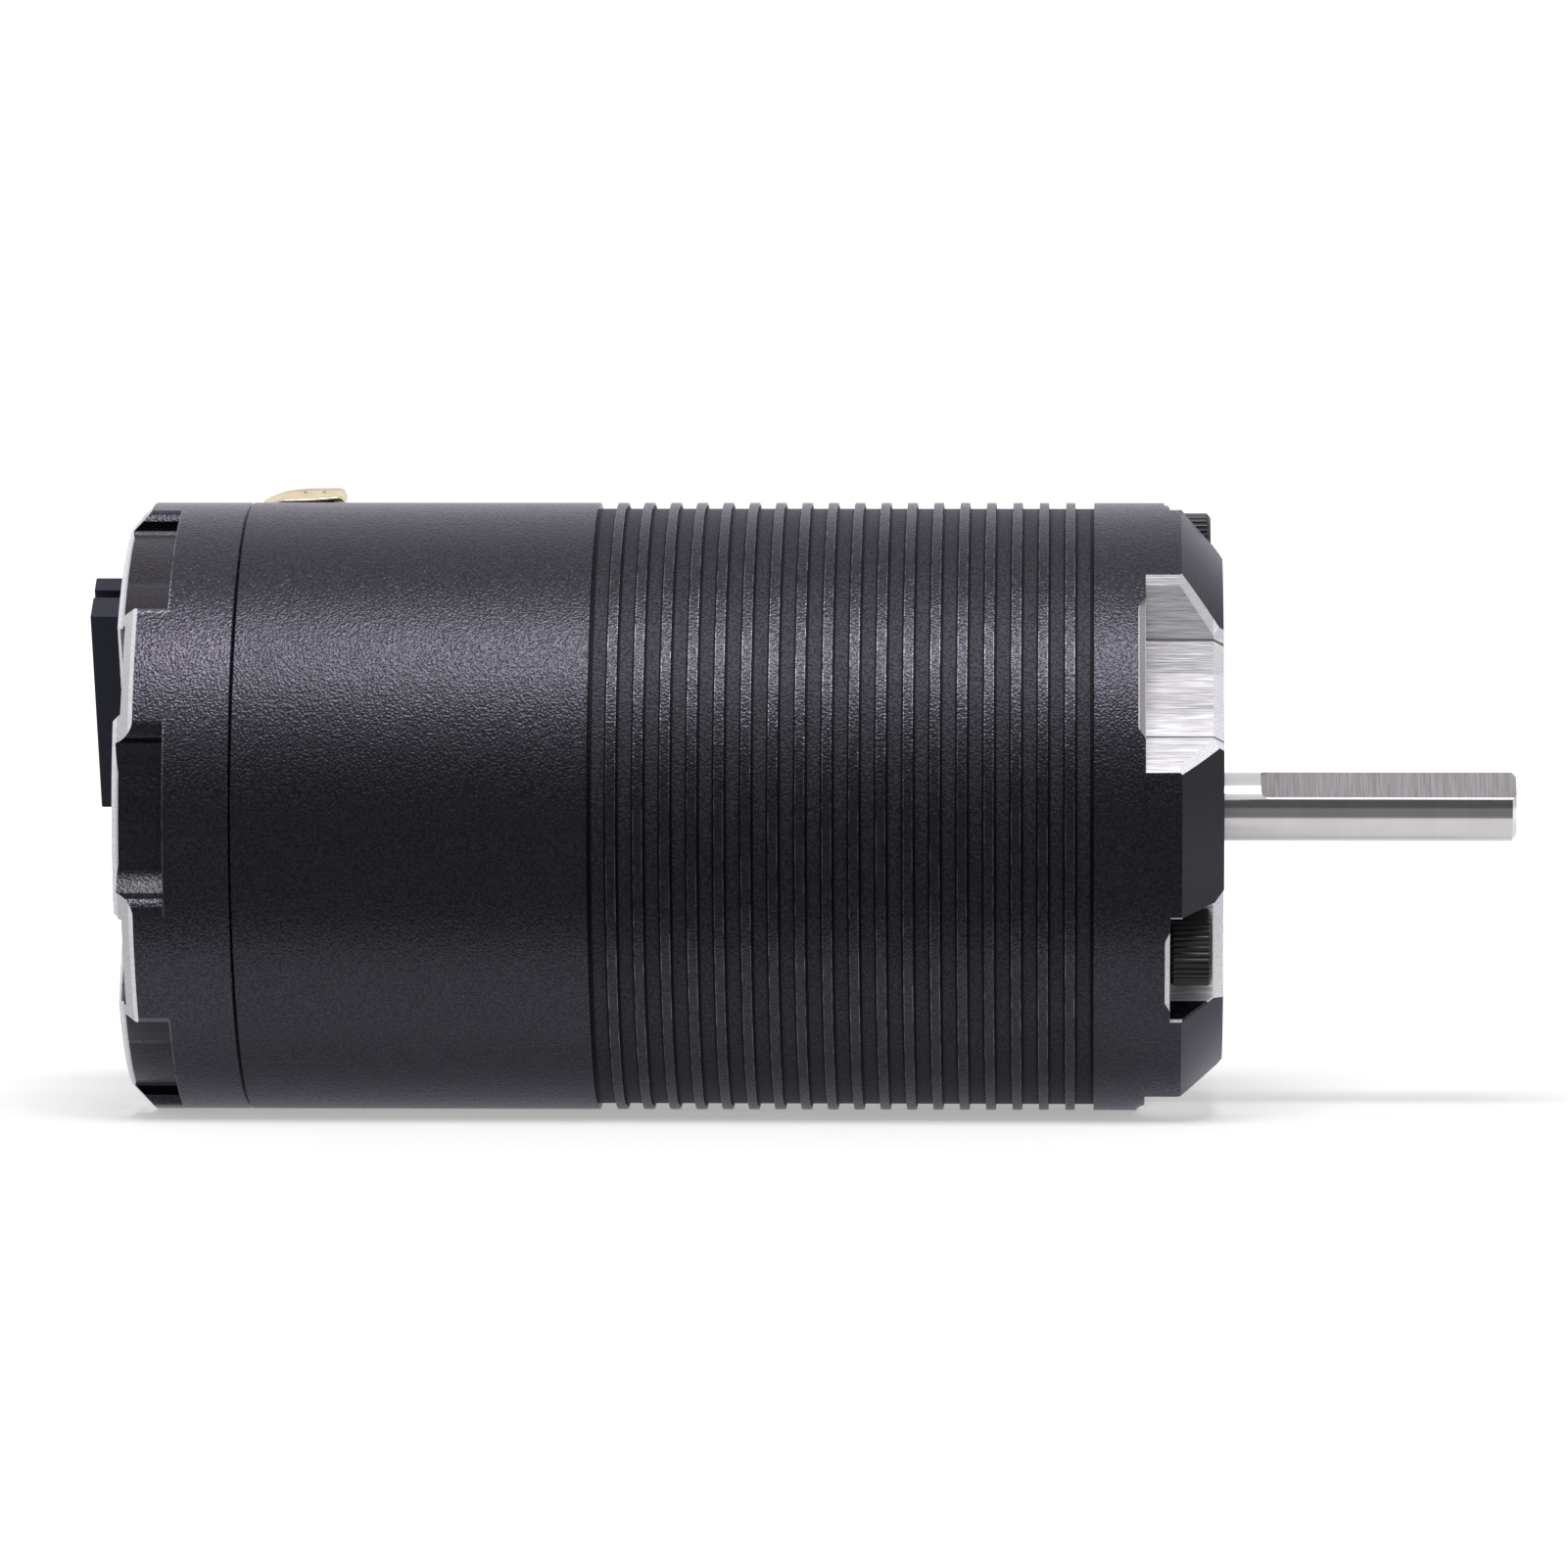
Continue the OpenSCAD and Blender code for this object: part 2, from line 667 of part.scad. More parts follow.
// One tooth's outline with its tip, drawn on +Z
tip_w = 2 * stator_bore_r * sin(tip_deg / 2) - slot_mouth;

module stator_core() {
    color([0.5, 0.5, 0.52])
    difference() {
        union() {
            ring_x(stack_rear_x, stack_l, slot_out_r, stator_r);
            intersection() {
                union()
                    for (i = [0 : tooth_count - 1])
                        at_angle(i * tip_deg)
                            prism_x(stack_rear_x, stack_l)
                                polygon([
                                    [-tip_w / 2, 0], [tip_w / 2, 0], [tip_w / 2, slot_in_r - tooth_tip_t / 2],
                                    [tooth_w / 2, slot_in_r], [tooth_w / 2, slot_out_r + fit],
                                    [-tooth_w / 2, slot_out_r + fit], [-tooth_w / 2, slot_in_r],
                                    [-tip_w / 2, slot_in_r - tooth_tip_t / 2]]);
                ring_x(stack_rear_x, stack_l, stator_bore_r, slot_out_r + root_t);
            }
        }
        for (angle = screw_angles)
            at_angle(angle) {
                rod_x(stack_rear_x - over, stack_l + 2 * over, groove_r, screw_circle_r);
                translate([stack_rear_x - over, -groove_r, screw_circle_r])
                    cube([stack_l + 2 * over, 2 * groove_r, can_wall + over]);
            }
    }
}

// A slot insulator: a rim on the core's end and a finger over each tooth
module slot_insulator(x, rim_x) {
    color([0.9, 0.88, 0.8])
    difference() {
        union() {
            ring_x(rim_x, insulator_rim_t, slot_out_r, insulator_rim_r);
            for (i = [0 : tooth_count - 1])
                at_angle(i * tip_deg)
                    translate([x, -tooth_w / 2, slot_in_r])
                        cube([insulator_t, tooth_w, slot_out_r + root_t - slot_in_r]);
        }
        for (angle = screw_angles)
            at_angle(angle) {
                rod_x(rim_x - over, insulator_rim_t + 2 * over, groove_r, screw_circle_r);
                translate([rim_x - over, -groove_r, screw_circle_r])
                    cube([insulator_rim_t + 2 * over, 2 * groove_r, can_wall + over]);
            }
    }
}

module front_insulator() {
    slot_insulator(stack_front_x, stack_front_x);
}

module rear_insulator() {
    slot_insulator(stack_rear_x - insulator_t, stack_rear_x - insulator_rim_t);
}

// The four coils of one phase, each round one tooth
coil_in_r = slot_in_r + coil_gap;
coil_out_r = (slot_out_r - coil_gap) * cos(tip_deg / 2);
coil_l = stack_l + 2 * (insulator_t + winding_end_h);

function coil_half_w(r) = r * tan(tip_deg / 2) - coil_gap;

module winding(phase) {
    color([0.72, 0.42, 0.2])
    for (i = [0 : 3])
        at_angle((phase + 3 * i) * tip_deg)
            difference() {
                prism_x(stack_rear_x - insulator_t - winding_end_h, coil_l)
                    polygon([
                        [-coil_half_w(coil_in_r), coil_in_r], [coil_half_w(coil_in_r), coil_in_r],
                        [coil_half_w(coil_out_r), coil_out_r], [-coil_half_w(coil_out_r), coil_out_r]]);
                translate([stack_rear_x - insulator_t, -tooth_w / 2 - coil_gap, 0])
                    cube([stack_l + 2 * insulator_t, tooth_w + 2 * coil_gap, body_r]);
            }
}

module winding_phase_a() {
    winding(0);
}

module winding_phase_b() {
    winding(1);
}

module winding_phase_c() {
    winding(2);
}

// The pieces of a ball bearing whose front face lies at x + w
function pitch_r(out_r) = (out_r + shaft_r) / 2;

function inner_shoulder_r(out_r, ball_d) = pitch_r(out_r) - ball_d / 2 * race_share;

function outer_shoulder_r(out_r, ball_d) = pitch_r(out_r) + ball_d / 2 * race_share;

module race(x, w, r_in, r_out, track_r, ball_d) {
    rotate([0, 90, 0]) rotate_extrude()
        difference() {
            translate([r_in, x]) square([r_out - r_in, w]);
            translate([track_r, x + w / 2]) circle(r = ball_d / 2 + ball_gap);
        }
}

module outer_race(x, w, out_r, ball_d) {
    color([0.7, 0.7, 0.72])
    race(x, w, outer_shoulder_r(out_r, ball_d), out_r, pitch_r(out_r), ball_d);
}

module inner_race(x, w, out_r, ball_d) {
    color([0.7, 0.7, 0.72])
    race(x, w, shaft_r + fit, inner_shoulder_r(out_r, ball_d), pitch_r(out_r), ball_d);
}

module shields(x, w, out_r, ball_d) {
    r_in = inner_shoulder_r(out_r, ball_d) + shield_gap;
    r_out = outer_shoulder_r(out_r, ball_d) - fit;
    color([0.6, 0.6, 0.62])
    for (face_x = [x + shield_inset, x + w - shield_inset - shield_t])
        ring_x(face_x, shield_t, r_in, r_out);
}

module ball_set(x, w, out_r, ball_d, count) {
    color([0.85, 0.85, 0.88])
    for (i = [0 : count - 1])
        at_angle(i * 360 / count) translate([x + w / 2, 0, pitch_r(out_r)]) sphere(d = ball_d);
}

module cage(x, w, out_r, ball_d, count) {
    half_t = ball_d * race_share / 2 * cage_t_share;
    rear_l = ball_d * cage_w_share / 2;
    front_l = ball_d / 2 + ball_gap + cage_web;
    color([0.7, 0.6, 0.3])
    difference() {
        ring_x(x + w / 2 - rear_l, rear_l + front_l, pitch_r(out_r) - half_t, pitch_r(out_r) + half_t);
        for (i = [0 : count - 1])
            at_angle(i * 360 / count)
                translate([x + w / 2, 0, pitch_r(out_r)]) sphere(r = ball_d / 2 + ball_gap);
    }
}

module front_bearing_outer_race() {
    outer_race(front_bearing_x, front_bearing_w, front_bearing_r, front_ball_d);
}

module front_bearing_inner_race() {
    inner_race(front_bearing_x, front_bearing_w, front_bearing_r, front_ball_d);
}

module front_bearing_shields() {
    shields(front_bearing_x, front_bearing_w, front_bearing_r, front_ball_d);
}

module front_bearing_balls() {
    ball_set(front_bearing_x, front_bearing_w, front_bearing_r, front_ball_d, front_balls);
}

module front_bearing_cage() {
    cage(front_bearing_x, front_bearing_w, front_bearing_r, front_ball_d, front_balls);
}

module rear_bearing_outer_race() {
    outer_race(rear_bearing_x, rear_bearing_w, rear_bearing_r, rear_ball_d);
}

module rear_bearing_inner_race() {
    inner_race(rear_bearing_x, rear_bearing_w, rear_bearing_r, rear_ball_d);
}

module rear_bearing_shields() {
    shields(rear_bearing_x, rear_bearing_w, rear_bearing_r, rear_ball_d);
}

module rear_bearing_balls() {
    ball_set(rear_bearing_x, rear_bearing_w, rear_bearing_r, rear_ball_d, rear_balls);
}

module rear_bearing_cage() {
    cage(rear_bearing_x, rear_bearing_w, rear_bearing_r, rear_ball_d, rear_balls);
}

// A coned washer that pushes the rear bearing forwards
module disc_spring() {
    r_out = rear_bearing_r - fit;
    r_in = outer_shoulder_r(rear_bearing_r, rear_ball_d);
    color([0.6, 0.6, 0.62])
    turned([
        [r_in, rear_seat_x], [r_out, rear_bearing_x - spring_t],
        [r_out, rear_bearing_x], [r_in, rear_seat_x + spring_t]]);
}

// The board that carries the sensors, on posts inside the rear end bell
module sensor_board() {
    color([0.05, 0.3, 0.15])
    difference() {
        ring_x(board_rear_x, board_t, board_hole_d / 2, board_r);
        for (angle = screw_angles)
            at_angle(angle)
                rod_x(board_rear_x - over, board_t + 2 * over, board_screw_d / 2 + screw_hole_gap, post_circle_r);
    }
}

module hall_sensors() {
    color([0.12, 0.12, 0.12])
    for (angle = hall_angles)
        at_angle(angle)
            translate([board_front_x, -hall_size.y / 2, hall_circle_r - hall_size.z / 2])
                cube(hall_size);
}

module board_screws() {
    color([0.7, 0.7, 0.7])
    for (angle = screw_angles)
        at_angle(angle) {
            rod_x(board_front_x - board_screw_l, board_screw_l, board_screw_d / 2, post_circle_r);
            rod_x(board_front_x, board_screw_head_h, board_screw_head_d / 2, post_circle_r);
        }
}

// The socket for the sensor lead, set in the rear end bell, with its mouth at the back
module sensor_socket() {
    mouth_l = socket_l - 2 * socket_wall;
    mouth_t = socket_t - 2 * socket_wall;
    color([0.08, 0.08, 0.1])
    at_angle(socket_angle)
        translate([0, 0, socket_r])
            difference() {
                translate([socket_rear_x, -socket_l / 2, -socket_t / 2])
                    cube([socket_front_x - socket_rear_x, socket_l, socket_t]);
                translate([socket_rear_x - over, -mouth_l / 2, -mouth_t / 2])
                    cube([socket_depth + over, mouth_l, mouth_t]);
                for (i = [0 : pin_count - 1])
                    translate([socket_rear_x, 0, pin_row_r - socket_r])
                        contact(i, socket_front_x - socket_rear_x + over, pin_t + 2 * fit);
                for (side = [-1, 1])
                    translate([
                        socket_rear_x - over, side * (socket_l / 2 - key_groove_inset) - key_groove_w / 2,
                        -socket_t / 2 - over])
                        cube([socket_out + over, key_groove_w, key_groove_d + over]);
            }
}

// One contact of the row, along +X
module contact(i, l, t) {
    translate([0, (i - (pin_count - 1) / 2) * pin_pitch - t / 2, -t / 2]) cube([l, t, t]);
}

module sensor_contacts() {
    tip_x = socket_rear_x + pin_tip_inset;
    color([0.85, 0.7, 0.3])
    at_angle(socket_angle)
        translate([tip_x, 0, pin_row_r])
            for (i = [0 : pin_count - 1])
                contact(i, board_rear_x - tip_x, pin_t);
}

// A solder tab, drawn on +Z: a stem through the can's wall under a plate with a sloped rear end
module solder_tab(angle) {
    base_z = body_r + tab_base_h;
    rear_x = tab_x - tab_l / 2;
    front_x = tab_x + tab_l / 2;
    nose_r = tab_t / 2;
    color([0.85, 0.7, 0.3])
    at_angle(angle) {
        rotate([90, 0, 0]) translate([0, 0, -tab_w / 2]) linear_extrude(tab_w) {
            polygon([
                [rear_x, base_z], [front_x - nose_r, base_z], [front_x - nose_r, base_z + tab_t],
                [rear_x + tab_slope_l, base_z + tab_t], [rear_x, base_z + tab_t - tab_slope_h]]);
            translate([front_x - nose_r, base_z + nose_r]) circle(r = nose_r);
        }
        translate([tab_x - tab_stem_l / 2, -tab_stem_w / 2, body_r - tab_stem_depth])
            cube([tab_stem_l, tab_stem_w, tab_stem_depth + tab_base_h + tab_t / 2]);
    }
}

module solder_tab_a() {
    solder_tab(tab_angles[0]);
}

module solder_tab_b() {
    solder_tab(tab_angles[1]);
}

module solder_tab_c() {
    solder_tab(tab_angles[2]);
}

// The insulators that hold the tabs in the can's wall
module tab_insulators() {
    flange_l = tab_l - tab_base_inset - tab_front_over;
    plug_l = tab_hole_l - 2 * tab_clear;
    plug_w = tab_hole_w - 2 * tab_clear;
    color([0.1, 0.1, 0.11])
    for (angle = tab_angles)
        at_angle(angle)
            difference() {
                union() {
                    difference() {
                        translate([tab_x - tab_l / 2 + tab_base_inset, -tab_w / 2, body_r - can_wall / 2])
                            cube([flange_l, tab_w, can_wall / 2 + tab_base_h]);
                        rod_x(-can_l, can_l, body_r);
                    }
                    translate([tab_x - plug_l / 2, -plug_w / 2, can_in_r - over])
                        cube([plug_l, plug_w, can_wall + over + tab_base_h / 2]);
                }
                translate([tab_x - tab_stem_l / 2 - fit, -tab_stem_w / 2 - fit, can_in_r - 2 * over])
                    cube([tab_stem_l + 2 * fit, tab_stem_w + 2 * fit, body_r]);
            }
}

// The shaft: two journals, the output with its flat, and the thicker middle inside the rotor
module shaft() {
    rear_x = rear_bearing_x - spring_space;
    flat_w = 2 * sqrt(shaft_r * shaft_r - (shaft_r - flat_depth) * (shaft_r - flat_depth));
    relief_x = front_bearing_x + front_bearing_w;
    color([0.75, 0.75, 0.77])
    difference() {
        turned([
            [0, rear_x], [shaft_r - shaft_chamfer, rear_x], [shaft_r, rear_x + shaft_chamfer],
            [shaft_r, rotor_rear_x], [shaft_rotor_d / 2, rotor_rear_x],
            [shaft_rotor_d / 2, rotor_front_x], [shaft_r, rotor_front_x],
            [shaft_r, relief_x], [shaft_r - relief_depth, relief_x],
            [shaft_r - relief_depth, 0], [shaft_r, 0],
            [shaft_r, shaft_out_l - shaft_chamfer], [shaft_r - shaft_chamfer, shaft_out_l], [0, shaft_out_l]]);
        at_angle(flat_angle)
            translate([0, 0, shaft_r - flat_depth])
                linear_extrude(shaft_d) {
                    translate([flat_start + flat_corner_r, -shaft_r]) square([shaft_out_l, shaft_d]);
                    translate([flat_start, flat_corner_r - flat_w / 2])
                        square([shaft_out_l, flat_w - 2 * flat_corner_r]);
                    for (side = [-1, 1])
                        translate([flat_start + flat_corner_r, side * (flat_w / 2 - flat_corner_r)])
                            circle(r = flat_corner_r);
                }
    }
}

module rotor_core() {
    color([0.45, 0.45, 0.47])
    ring_x(magnet_rear_x, magnet_front_x - magnet_rear_x, shaft_rotor_d / 2 + fit, magnet_in_r - fit);
}

module rotor_magnets() {
    color([0.3, 0.3, 0.33])
    difference() {
        ring_x(magnet_rear_x, magnet_front_x - magnet_rear_x, magnet_in_r, magnet_out_r);
        for (i = [0 : magnet_count - 1])
            at_angle((i + 0.5) * 360 / magnet_count)
                translate([magnet_rear_x - over, -magnet_gap / 2, 0])
                    cube([magnet_front_x - magnet_rear_x + 2 * over, magnet_gap, rotor_r]);
    }
}

module rotor_sleeve() {
    color([0.55, 0.5, 0.25])
    ring_x(magnet_rear_x, magnet_front_x - magnet_rear_x, magnet_out_r + fit, rotor_r);
}

module front_balance_ring() {
    color([0.8, 0.65, 0.3])
    ring_x(magnet_front_x, balance_t, shaft_rotor_d / 2 + fit, balance_d / 2);
}

module rear_balance_ring() {
    color([0.8, 0.65, 0.3])
    ring_x(rotor_rear_x, balance_t, shaft_rotor_d / 2 + fit, balance_d / 2);
}

module front_spacer() {
    color([0.65, 0.65, 0.67])
    ring_x(rotor_front_x, front_bearing_x - rotor_front_x, shaft_r + fit, spacer_r);
}

module rear_spacer() {
    spacer_rear_x = rear_bearing_x + rear_bearing_w;
    color([0.65, 0.65, 0.67])
    ring_x(spacer_rear_x, rotor_rear_x - spacer_rear_x, shaft_r + fit, spacer_r);
}

can();
rear_end_bell();
through_screws();
stator_core();
front_insulator();
rear_insulator();
winding_phase_a();
winding_phase_b();
winding_phase_c();
front_bearing_outer_race();
front_bearing_shields();
front_bearing_balls();
front_bearing_cage();
front_bearing_inner_race();
rear_bearing_outer_race();
rear_bearing_shields();
rear_bearing_balls();
rear_bearing_cage();
rear_bearing_inner_race();
disc_spring();
sensor_board();
hall_sensors();
board_screws();
sensor_socket();
sensor_contacts();
solder_tab_a();
solder_tab_b();
solder_tab_c();
tab_insulators();
shaft();
rotor_core();
rotor_magnets();
rotor_sleeve();
front_balance_ring();
rear_balance_ring();
front_spacer();
rear_spacer();
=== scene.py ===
# The looks of a sensored brushless motor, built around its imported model.
# The frame: +X is the output end of the shaft, +Z is up, and the origin is the centre of the front face.
# Angles round the shaft count from -Y, up over +Z.
# Lengths are in metres for the pieces and the studio, and in millimetres for the materials.

import math

import bmesh
import bpy
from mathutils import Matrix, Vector


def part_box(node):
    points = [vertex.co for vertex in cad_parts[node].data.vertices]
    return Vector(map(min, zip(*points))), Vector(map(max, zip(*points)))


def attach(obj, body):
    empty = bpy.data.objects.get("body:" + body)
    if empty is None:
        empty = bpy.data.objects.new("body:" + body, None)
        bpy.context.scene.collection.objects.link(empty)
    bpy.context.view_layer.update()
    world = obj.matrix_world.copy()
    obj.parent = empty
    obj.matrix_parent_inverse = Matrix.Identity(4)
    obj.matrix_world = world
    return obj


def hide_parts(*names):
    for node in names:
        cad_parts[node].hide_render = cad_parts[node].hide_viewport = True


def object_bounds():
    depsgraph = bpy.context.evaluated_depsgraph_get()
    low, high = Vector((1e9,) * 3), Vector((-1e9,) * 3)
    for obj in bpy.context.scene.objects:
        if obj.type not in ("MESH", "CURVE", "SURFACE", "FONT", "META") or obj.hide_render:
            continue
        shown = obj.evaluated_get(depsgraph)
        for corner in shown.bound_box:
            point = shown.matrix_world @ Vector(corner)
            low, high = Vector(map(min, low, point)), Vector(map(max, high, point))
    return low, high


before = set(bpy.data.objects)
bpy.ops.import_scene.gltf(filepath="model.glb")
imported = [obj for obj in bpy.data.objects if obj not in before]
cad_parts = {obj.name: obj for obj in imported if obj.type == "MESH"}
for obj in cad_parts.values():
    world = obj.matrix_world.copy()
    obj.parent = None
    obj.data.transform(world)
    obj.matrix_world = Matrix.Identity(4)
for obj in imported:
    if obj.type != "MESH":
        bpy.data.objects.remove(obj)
cad_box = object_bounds()

MM = 0.001

# Sizes taken from the frame, in metres
can_low, can_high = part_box("can")
bell_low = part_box("rear_end_bell")[0]
screws_low, screws_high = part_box("through_screws")
socket_low, socket_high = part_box("sensor_socket")
tab_low, tab_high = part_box("solder_tab_a")
BODY_R = can_high.z


# Shader trees

class Nodes:
    """A node tree, built by short calls."""

    def __init__(self, tree):
        self.tree = tree

    def set(self, socket, value):
        if isinstance(value, bpy.types.NodeSocket):
            self.tree.links.new(value, socket)
        else:
            socket.default_value = value

    def vector(self, operation, a, b=None, scale=None):
        node = self.tree.nodes.new("ShaderNodeVectorMath")
        node.operation = operation
        self.set(node.inputs[0], a)
        if b is not None:
            self.set(node.inputs[1], b)
        if scale is not None:
            self.set(node.inputs["Scale"], scale)
        return node.outputs["Value" if operation in ("DOT_PRODUCT", "DISTANCE") else "Vector"]

    def math(self, operation, a, b=0.0, c=0.0):
        node = self.tree.nodes.new("ShaderNodeMath")
        node.operation = operation
        self.set(node.inputs[0], a)
        self.set(node.inputs[1], b)
        self.set(node.inputs[2], c)
        return node.outputs[0]

    def add(self, a, b):
        return self.math("ADD", a, b)

    def minus(self, a, b):
        return self.math("SUBTRACT", a, b)

    def times(self, a, b):
        return self.math("MULTIPLY", a, b)

    def less(self, a, b):
        return self.math("LESS_THAN", a, b)

    def more(self, a, b):
        return self.math("GREATER_THAN", a, b)

    def near(self, a, b, reach):
        return self.math("COMPARE", a, b, reach)

    def both(self, *masks):
        """1 where every mask is 1."""
        mask = masks[0]
        for other in masks[1:]:
            mask = self.times(mask, other)
        return mask

    def either(self, a, b):
        return self.math("MAXIMUM", a, b)

    def invert(self, mask):
        return self.minus(1.0, mask)

    def fade(self, value, start, end):
        """0 at start and 1 at end, smoothly in between."""
        node = self.tree.nodes.new("ShaderNodeMapRange")
        node.interpolation_type = "SMOOTHSTEP"
        self.set(node.inputs["Value"], value)
        self.set(node.inputs["From Min"], start)
        self.set(node.inputs["From Max"], end)
        return node.outputs["Result"]

    def scale(self, value, low, high):
        """Spreads 0 to 1 over low to high."""
        return self.math("MULTIPLY_ADD", value, high - low, low)


class Shader(Nodes):
    """A material's node tree. Places are in millimetres."""

    def __init__(self, name):
        self.material = bpy.data.materials.new(name)
        self.material.use_nodes = True
        super().__init__(self.material.node_tree)
        self.bsdf = self.tree.nodes["Principled BSDF"]
        coordinates = self.tree.nodes.new("ShaderNodeTexCoord")
        self.place = self.vector("SCALE", coordinates.outputs["Object"], scale=1 / MM)
        self.facing = coordinates.outputs["Normal"]

    def split(self, place):
        node = self.tree.nodes.new("ShaderNodeSeparateXYZ")
        self.set(node.inputs[0], place)
        return node.outputs

    def join(self, x, y, z):
        node = self.tree.nodes.new("ShaderNodeCombineXYZ")
        for socket, value in zip(node.inputs, (x, y, z)):
            self.set(socket, value)
        return node.outputs[0]

    def polar(self):
        """The place along the shaft, the distance from its axis, and the angle round it in degrees."""
        x, y, z = self.split(self.place)
        r = self.math("SQRT", self.add(self.times(y, y), self.times(z, z)))
        angle = self.math("DEGREES", self.math("ARCTAN2", z, self.times(y, -1.0)))
        return x, r, angle

    def around(self, along, out, turn):
        """The polar place, with each of its three values times a factor."""
        factors = (along, out, turn)
        return self.join(*[self.times(value, factor) for value, factor in zip(self.polar(), factors)])

    def noise(self, scale, detail=2.0, roughness=0.5, place=None, stretch=None):
        node = self.tree.nodes.new("ShaderNodeTexNoise")
        where = place or self.place
        if stretch is not None:
            where = self.vector("MULTIPLY", where, stretch)
        self.set(node.inputs["Vector"], where)
        node.inputs["Scale"].default_value = scale
        node.inputs["Detail"].default_value = detail
        node.inputs["Roughness"].default_value = roughness
        return node.outputs["Fac"]

    def blend(self, mask, a, b):
        """a where the mask is 0 and b where it is 1; colours are tuples of three."""
        node = self.tree.nodes.new("ShaderNodeMix")
        colours = isinstance(a, tuple) or isinstance(b, tuple) or getattr(a, "type", "") == "RGBA"
        node.data_type = "RGBA" if colours else "FLOAT"
        first = 6 if colours else 2
        self.set(node.inputs[0], mask)
        self.set(node.inputs[first], (*a, 1.0) if isinstance(a, tuple) else a)
        self.set(node.inputs[first + 1], (*b, 1.0) if isinstance(b, tuple) else b)
        return node.outputs[2 if colours else 0]

    def bump(self, height, depth, base=None):
        """Raises the surface by height, from 0 to 1, times depth in millimetres."""
        node = self.tree.nodes.new("ShaderNodeBump")
        node.inputs["Distance"].default_value = depth * MM
        self.set(node.inputs["Height"], height)
        if base is not None:
            self.set(node.inputs["Normal"], base)
        return node.outputs[0]

    def finish(self, **inputs):
        """Sets the shader's sockets by their names in lower case."""
        for name, value in inputs.items():
            socket = self.bsdf.inputs[name.replace("_", " ").title().replace("Ior", "IOR")]
            self.set(socket, (*value, 1.0) if isinstance(value, tuple) and len(value) == 3 else value)
        return self.material


# Colours as linear red, green and blue, and pairs of them from dark to light
SAND = ((0.0205, 0.0191, 0.0247), (0.0425, 0.0397, 0.0510))
BELL_SAND = ((0.0235, 0.0219, 0.0283), (0.0505, 0.0472, 0.0606))
GROOVE = ((0.016, 0.0150, 0.0190), (0.041, 0.0384, 0.0490))
POCKET = ((0.022, 0.0210, 0.0240), (0.042, 0.0402, 0.0450))
# Painted shade: near black for the dark lines in the rib grooves' corners; the same colour darkens the seam
# between can and end bell
SHADE_AND_SEAM = (0.0025, 0.0022, 0.0032)
TURNED_BLACK = (0.0155, 0.0148, 0.0168)
# Lighter edges: wear, and a painted highlight on rib edges and on the end bell's pocket rims and walls
WEAR_AND_HIGHLIGHT = (0.140, 0.135, 0.155)
BLACK_TINT = (0.92, 0.88, 1.0)
SILVER = ((0.50, 0.49, 0.50), (0.86, 0.85, 0.88))
# Darker silver: painted shade in the front notches, and a darker band along the middle of the end bell's
# chamfer
SILVER_SHADE_AND_DARK_BAND = (0.20, 0.19, 0.19)
OXIDE = ((0.007, 0.007, 0.009), (0.018, 0.0175, 0.020))
STEEL = ((0.50, 0.48, 0.495), (0.68, 0.66, 0.68))
GROUND = ((0.21, 0.196, 0.208), (0.34, 0.32, 0.337))
# Painted highlight along the lower edge of the shaft's flat
EDGE_HIGHLIGHT = (0.95, 0.94, 0.95)
RACE = ((0.55, 0.54, 0.53), (0.72, 0.71, 0.70))
BALL = ((0.70, 0.70, 0.70), (0.80, 0.80, 0.80))
SHIELD = ((0.42, 0.42, 0.42), (0.56, 0.55, 0.54))
CAGE = ((0.62, 0.44, 0.18), (0.76, 0.57, 0.27))
BRASS = ((0.66, 0.47, 0.19), (0.80, 0.60, 0.28))
GOLD = ((0.66, 0.54, 0.36), (0.84, 0.75, 0.58))
# Painted shade for the two small holes in a solder cup's wall
GOLD_HOLE_SHADE = (0.42, 0.32, 0.26)
COPPER = ((0.42, 0.15, 0.06), (0.72, 0.31, 0.14))
LAMINATION = ((0.22, 0.22, 0.23), (0.34, 0.34, 0.35))
MAGNET = ((0.52, 0.51, 0.49), (0.64, 0.63, 0.61))
SLEEVE = ((0.012, 0.012, 0.013), (0.045, 0.045, 0.048))
BOARD = ((0.008, 0.05, 0.022), (0.014, 0.085, 0.035))
SOCKET_BLACK = ((0.013, 0.013, 0.028), (0.020, 0.020, 0.040))
PALE_PLASTIC = ((0.62, 0.56, 0.42), (0.70, 0.65, 0.52))
BLACK_PLASTIC = ((0.006, 0.006, 0.007), (0.010, 0.010, 0.011))

# The blasted black finish and the cut metal
BLACK_METAL = 0.75
GRAIN_SCALE = 5.5
GRAIN_DEPTH = 0.058
SAND_ROUGH = (0.24, 0.30)
BELL_ROUGH = (0.20, 0.26)
GROOVE_ROUGH = 0.54
TURNED_ROUGH = 0.31
CUT_ROUGH = (0.85, 0.60)
POCKET_GRAIN_SHARE = 0.75
RINGS_PER_MM = 9.0
RING_DEPTH_SHARE = 0.3
STREAK_STRETCH = (0.3, 10.0, 10.0)
STREAK_DEPTH_SHARES = (0.35, 0.6)
END_FACE_TONES = (0.40, 0.70)
SWELL_DEPTH = 1.0


